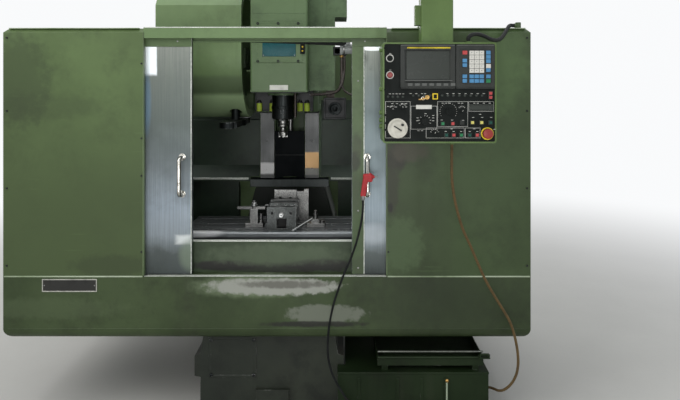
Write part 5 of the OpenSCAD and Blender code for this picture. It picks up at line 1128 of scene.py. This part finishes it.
# Column front: painted beam under the rails, bright lips of the splash wall, way wipers
blocks("root", (
    ("railBeam", (-232, 96.4, 953), (268, 100.6, 999), 1.6, 3, front, (4, 1, -0.6), beamPaint),
    ("leftLip", (-1205, 122.6, 994), (-246, 127.5, 1007), 1.8, 3, front,
     (2.4, 1, -0.6), wornEdge),
    ("rightLip", (282, 122.6, 994), (1205, 127.5, 1007), 1.8, 3, front,
     (2.4, 1, -0.6), wornEdge),
    ("coverSeam", (-74, 118.2, 1150), (110, 120.8, 1156), 0.9, 2, front,
     (1.2, 0.5, -0.5), blackEnamel)))
for name, x0, x1 in (("wiperLeft", -170.5, -76), ("wiperRight", 112, 206.5)):
    blocks("head", ((name, (x0, 106, 1422), (x1, 119, 1440), 2.0, 3, front, (3, 1, -2),
                     blackPlastic),))

# Vise: screw holes, the window round its spindle, its hexagon, jaw plate, wrench and clamp nut
vx, vy, holeZ, holeX = 42.0, -684.0, 946, 48
spots = [(vx - holeX, 0, holeZ), (vx + holeX, 0, holeZ)]
boss = rod("holeRim", (0, vy - 1.6, 0), (0, vy + 1, 0), 9.6, 0.8)
editFaces(boss, front, inset(2.4), inset(0.6, -1.2), dropFaces)
place(stamp("viseRims", boss, spots), viseSteel, "table")
# Black discs in the screw holes, and the black window below, are painted shade
core = rod("holeCore", (0, vy - 0.7, 0), (0, vy + 0.6, 0), 7.0, 0.4, 28)
place(stamp("viseHoles", lipped(core, front, 2.0, 0.6, 0.3), spots), holeShadeBlack, "table")
blocks("table", (("viseWindow", (vx - 24.5, vy + 24, 869.5), (vx + 24.5, vy + 29.7, 918.5), 0.9,
                  2, front, (3.0, 0.8, 0.6), holeShadeBlack),))
crank = rod("viseHex", (vx, -716, 940), (vx, -712, 940), 11.0, 1.2, 6)
place(lipped(crank, front, 3.5, 1.0, -1.6), brightSteel, "table")
blocks("vise_jaw", (("jawPlate", (-24, -552, 932), (108, -547.7, 977.6), 0.25, 2, upper,
                     (1.4, 0.6, -0.3), brightSteel),))
barFoot = (98, -700, 860.5)
bar = rod("wrenchBar", barFoot, (196, -592, 900), 5.0, 1.2, 20)
place(lipped(bar, lambda c, n: (c - Vector(barFoot) / 1000).length < 0.002, 1.2, 0.6, 0.8),
      brightSteel, "table")
nut = lipped(rod("nut", (-114, -566, 968), (-114, -566, 980), 14, 1.4, 6), upper, 3.0, 0.8, -0.6)
washer = lipped(rod("washer", (-114, -566, 965), (-114, -566, 968), 18, 0.8), upper,
                2.0, 0.6, -0.4)
place(join("clampNuts", nut, washer), brightSteel, "table")

# Chips: one curled sliver, scattered over table and vise from a fixed seed
chipLook = {"seed": 47, "curl": 0.0022, "half": 0.005, "onTable": 170, "onVise": 46}
random.seed(chipLook["seed"])
sliver = slab("sliver", (-5.0, -0.7, 0), (5.0, 0.7, 0.6), 0)
only(sliver)
bpy.ops.object.mode_set(mode="EDIT")
bpy.ops.mesh.select_all(action="SELECT")
bpy.ops.mesh.subdivide(number_cuts=1)
bpy.ops.object.mode_set(mode="OBJECT")
for vertex in sliver.data.vertices:
    vertex.co.z += chipLook["curl"] * (1 - (vertex.co.x / chipLook["half"]) ** 2)
draw = random.uniform
chipSpots = []
for k in range(chipLook["onTable"]):
    x, y = draw(-440, 500), draw(-704, -640)
    if k % 3 == 0:
        y = draw(-640, -320)
    if -60 < x < 146 and y > -690:
        continue
    chipSpots.append(turned((x, y, 853.2), "Z", draw(0, 360)) @ Matrix.Scale(draw(0.5, 1.3), 4))
for k in range(chipLook["onVise"]):
    chipSpots.append(turned((draw(-44, 128), draw(-672, -600), 978.3), "Z", draw(0, 360))
                     @ Matrix.Scale(draw(0.6, 1.4), 4))
place(stamp("chips", sliver, chipSpots), brightSteel, "table")
print("head and table dressed")


# Air gun on the right handle: grip, body, trigger, nozzle tube, hook and the hose's ferrule
gunLook = {"x": 467.0, "y": -1017.5, "top": 1240.0, "hoseX": 445.0, "hookZ": 1274.7,
           "triggerLean": 14}
gx, gy, gt = gunLook["x"], gunLook["y"], gunLook["top"]
hoseX, hookZ = gunLook["hoseX"], gunLook["hookZ"]
grip = slab("grip", (gx - 34, gy - 10.5, gt - 148), (gx - 9, gy + 10.5, gt - 66), 6.0, 4)
for vertex in grip.data.vertices:
    rise = (vertex.co.z - (gt - 148) / 1000) / 0.082
    vertex.co.x += 0.012 * rise ** 1.5
    vertex.co.y = gy / 1000 + (vertex.co.y - gy / 1000) * (0.82 + 0.28 * rise)
barrel = slab("barrel", (gx - 22, gy - 10.5, gt - 82), (gx + 22, gy + 10.5, gt - 44), 8.0, 4)
lipped(barrel, front, 3, 1.2, -1.0)
shroud = rod("shroud", (gx + 4, gy, gt - 46), (gx + 30, gy, gt - 62), 9.5, 2.5, 28, 3, tip=7)
gunBody = place(join("gunBody", grip, barrel, shroud), gunRed, "right_door")
trigger = slab("trigger", (-2, gy - 4, -50), (3, gy + 4, 0), 1.8, 3)
trigger.data.transform(turned((gx, 0, gt - 74), "Y", gunLook["triggerLean"]))
lipped(trigger, front, 1.2, 0.4, -0.3)
nozzle = rod("nozzle", (gx + 26, gy, gt - 58), (gx + 44, gy, gt - 58), 4.4, 1.0, 20, tip=3.2)
hook = rod("hook", (gx, gy, gt - 46), (gx, gy, hookZ), 3.0, 0.8, 16)
hookTop = rod("hookTop", (gx, gy - 2.4, hookZ), (gx, -952, hookZ), 3.0, 0.8, 16)
ferrule = rod("ferrule", (hoseX, gy, gt - 165), (hoseX, gy, gt - 143), 9.5, 1.6, 6)
collar = rod("collar", (hoseX, gy, gt - 152), (hoseX, gy, gt - 140), 8.0, 1.5, 28)
gunFittings = place(join("gunFittings", trigger, nozzle, ferrule, collar), screwSteel,
                    "right_door")
place(join("gunHook", hook, hookTop), screwSteel, "right_door")
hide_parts("air_gun")
declareCord("airHose", cordPieces["airHose"], gunBody, gunFittings)

# Tank: folded lid rim, ribs, gauge glass and drain cock
tankLook = {"x": (328.0, 1032.0), "front": -964.0, "top": 265.0, "gaugeX": 835}
(x0, x1), fy, tz, gaugeX = (tankLook[key] for key in ("x", "front", "top", "gaugeX"))
gaugeTube = coated("gaugeTube", (0.3, 0.36, 0.26), rough=0.15, gloss=0.5, grime=0.5)
blocks("root", (("tankRim", (x0, fy - 3.0, tz - 8), (x1, fy + 3, tz + 1.4), 1.8, 3, upper,
                 (1.4, 0.6, -0.4), tankPaint),))
ribs = [slab("rib", (x, fy - 3.4, 40), (x + 16, fy + 1, 240), 2.4, 3) for x in (420, 600, 712)]
place(join("tankRibs", *ribs), tankPaint)
glass = rod("gaugeGlass", (gaugeX, fy - 6.5, 84), (gaugeX, fy - 6.5, 222), 4.2, 1.0, 20)
place(lipped(glass, upper, 1, 0.5, 0.5), gaugeTube)
nut = rod("gaugeNut", (gaugeX, fy - 15, 0), (gaugeX, fy - 5, 0), 8.5, 1.4, 6)
place(stamp("gaugeNuts", lipped(nut, front, 2.4, 1, 1.2), [(0, 0, 72), (0, 0, 232)]), brass)
cock = lipped(rod("drainCock", (392, fy - 24, 60), (392, fy + 1, 60), 9.5, 1.6, 6), front,
              3, 2, -6)
lever = slab("drainLever", (388, fy - 20, 66), (396, fy - 14, 98), 1.8, 3)
place(join("drain", cock, lever), brass)

# Chip tray: rolled front edge
roll = rod("trayRoll", (517, -945, 354), (1008, -945, 354), 4.6, 1.2, 18)
place(lipped(roll, ends, 1.2, 0.6, 0.6), trayEdge, "chip_tray")

# Bed: levelling screws with lock nuts, and a bolted cover
nut = lipped(rod("levelNut", (0, 0, 40), (0, 0, 58), 27, 3.0, 6), upper, 6, 2, 3)
pin = lipped(rod("levelPin", (0, 0, 58), (0, 0, 76), 14, 1.6, 28), upper, 4, 2, -4)
spots = [(x, y, 0) for x in (-270, 270) for y in (-780, -240, 300, 830)]
place(join("levellers", stamp("nuts", nut, spots), stamp("pins", pin, spots)), screwSteel)
blocks("root", (("bedCover", (-292, -872, 196), (-60, -868.4, 392), 2.0, 3, front,
                 (10, 2, -1.4), bedPaint),))
boltHead = lipped(rod("bedBolt", (0, -877, 0), (0, -869, 0), 9.0, 1.4, 6), front, 2.6, 0.8, 0.6)
place(stamp("bedBolts", boltHead, [(x, 0, z) for x in (-278, -74) for z in (210, 378)]),
      sootSteel)

# Work lamp: bright ferrules at both ends
bands = [rod("band", (x, -834, 1775), (x + 7, -834, 1775), 26, 1.6, 40) for x in (356, 497)]
place(join("lampBands", *bands), screwSteel)

# Post of the panel: foot plate, top cap and bolts
bolt = lipped(rod("postBolt", (0, -957.5, 0), (0, -951, 0), 7.0, 1.4, 6), front, 2, 0.6, 0.6)
blocks("root", (("postFoot", (702, -958, 1865.4), (862, -884, 1874), 2.4, 3, upper,
                 (6, 2, -1), postPaint),))
place(stamp("postBolts", bolt, [(x, 4, z) for x in (730, 834) for z in (1884, 2262)]),
      screwSteel)
blocks("root", (("postCap", (714, -954, 2288), (850, -888, 2293.5), 2.4, 3, upper,
                 (8, 3, -1.5), postPaint),))
print("air gun, lower front and post dressed")


# Electrical cabinet: louvres, door lever, ribs, locks, lifting eyes and cable glands
cabLook = {"half": 650.0, "back": 1270.0, "louvres": 8, "pitch": 0.026, "lowest": 1.512,
           "midY": 1.072}
half, back = cabLook["half"], cabLook["back"]
fin = lipped(slab("fin", (-2, 1000, -11), (7, 1144, 3), 1.2), ends, 2, 0.6, -0.3)
louvres = []
for out, turn in ((-1, 180), (1, 0)):
    for k in range(cabLook["louvres"]):
        spot = (out * half, (1 - out) * cabLook["midY"] * 1000,
                (cabLook["lowest"] + cabLook["pitch"] * k) * 1000)
        louvres.append(turned(spot, "Z", turn))
place(stamp("cabinetLouvres", fin, louvres), guardPaint)
handle = rod("leverBase", (560, back, 1226), (560, back + 8, 1226), 38, 3.0, 48, 3)
grip = slab("leverGrip", (552, back + 6, 1190), (568, back + 19, 1262), 4.0, 4)
place(join("cabinetLever", lipped(handle, rear, 8, 3, -3), grip), blackPlastic, "cabinet_door")
ribs = [slab("rib", (-590, back - 0.6, z), (420, back + 4, z + 14), 2.0)
        for z in (330, 980, 1630)]
place(join("cabinetRibs", *ribs), guardPaint, "cabinet_door")
lock = lipped(rod("lock", (0, back - 1, 0), (0, back + 7, 0), 13, 1.6), rear, 4, 1, -2)
place(stamp("cabinetLocks", lock, [(598, 0, 300), (598, 0, 1620)]), screwSteel, "cabinet_door")
loop = lipped(rod("liftEye", (0, 0, 1836), (0, 0, 1852), 16, 2.2, 28), upper,
              4, 2, 12, 2, 1, -4)
place(stamp("liftEyes", loop, [(x, y, 0) for x in (-600, 600) for y in (980, 1200)]), screwSteel)
gland = lipped(rod("gland", (0, 0, 1838), (0, 0, 1862), 19, 2.4, 6), upper, 5, 2, 8)
place(stamp("cabinetGlands", gland, [(x, 900, 0) for x in (-180, -110, -40)]), blackPlastic)

# Motors: their terminal boxes
for body, name, low, high in (("root", "zMotorBox", (-70, 258, 2440), (70, 342, 2520)),
                              ("table", "xMotorBox", (604, -534, 662), (620, -482, 678)),
                              ("head", "spindleMotorBox", (-66, -204, 2290), (56, -150, 2370))):
    blocks(body, ((name, low, high, 4.0, 3, upper, (5, 2, -1.5), blackEnamel),))

# Pan from behind: stiffeners and a hemmed edge
ribs = [slab("rib", (x, 328, 440), (x + 22, 334, 700), 2.4)
        for x in (-1150, -820, -480, 460, 800, 1128)]
place(join("panBackRibs", *ribs), panPaint)
hems = [slab("hem", (x0, 325, 700), (x1, 333.5, 709), 2.4, 3)
        for x0, x1 in ((-1222, -334), (334, 1222))]
place(join("panBackHems", *hems), panPaint)
print("back and sides dressed")


# Floor, background and soft lamps
stageLook = {"floor": (0.62, 0.61, 0.58), "far": (0.95, 0.96, 0.97), "size": 60.0}
dark = (0.0, 0.0, 0.0)


# The floor pales with distance until it meets the background
def stageFinish(name, look):
    f = Finish(name)
    away = (f.x * f.x + f.y * f.y).math("SQRT")
    far = f.step(away, 1.8, 6.5) * f.looked()
    worn = f.step(f.noise(1.5, 5, 0.6), 0.35, 0.7) * 0.1
    worn = worn + f.step(f.noise(40, 4), 0.5, 0.8) * 0.06
    shade = f.mix(worn, look["floor"], tuple(c * 0.6 for c in look["floor"]))
    return f.finish(f.mix(far, shade, dark), 0.75, SpecularIORLevel=0.0,
                    EmissionColor=f.mix(far, dark, look["far"]), EmissionStrength=1.0)


only()
bpy.ops.mesh.primitive_plane_add(size=stageLook["size"])
floor = bpy.context.object
floor.name = "floor"
coat(floor, stageFinish("floorTone", stageLook))

# Square lamps: name, place, what they aim at, size, power, colour
for name, spot, aim, size, power, colour in (
        ("keyLamp", (-2.6, -3.6, 4.2), (0, -0.6, 1.0), 3.0, 105, (1.0, 0.99, 0.97)),
        ("fillLamp", (3.6, -3.4, 2.6), (0, -0.6, 1.0), 3.0, 34, (0.95, 0.98, 1.0)),
        ("topLamp", (0, 0.4, 5.2), (0, 0, 1.0), 4.0, 92, (0.97, 0.99, 1.0)),
        ("frontLamp", (0.1, -4.9, 1.2), (0.0, -0.4, 1.4), 1.6, 46, (1.0, 1.0, 1.0)),
        ("backLamp", (-0.5, 4.6, 3.4), (0, 0, 1.2), 3.0, 70, (1.0, 1.0, 1.0))):
    turn = (Vector(aim) - Vector(spot)).to_track_quat("-Z", "Y").to_euler()
    bpy.ops.object.light_add(type="AREA", location=spot, rotation=turn)
    lamp = bpy.context.object
    lamp.name = name
    lamp.data.size, lamp.data.energy, lamp.data.color = size, power, colour

# Daylight all round, and a pale background where the camera sees past the machine
world = bpy.data.worlds.new("studio")
bpy.context.scene.world = world
air = Finish("air", world)
sky = air.node("ShaderNodeBackground", None, (0.86, 0.9, 0.94), 0.36)
seen = air.node("ShaderNodeBackground", None, stageLook["far"], 1.0)
both = air.node("ShaderNodeMixShader", None, air.looked(), sky, seen)
air.node("ShaderNodeOutputWorld", None, both)
print("stage and lamps set")
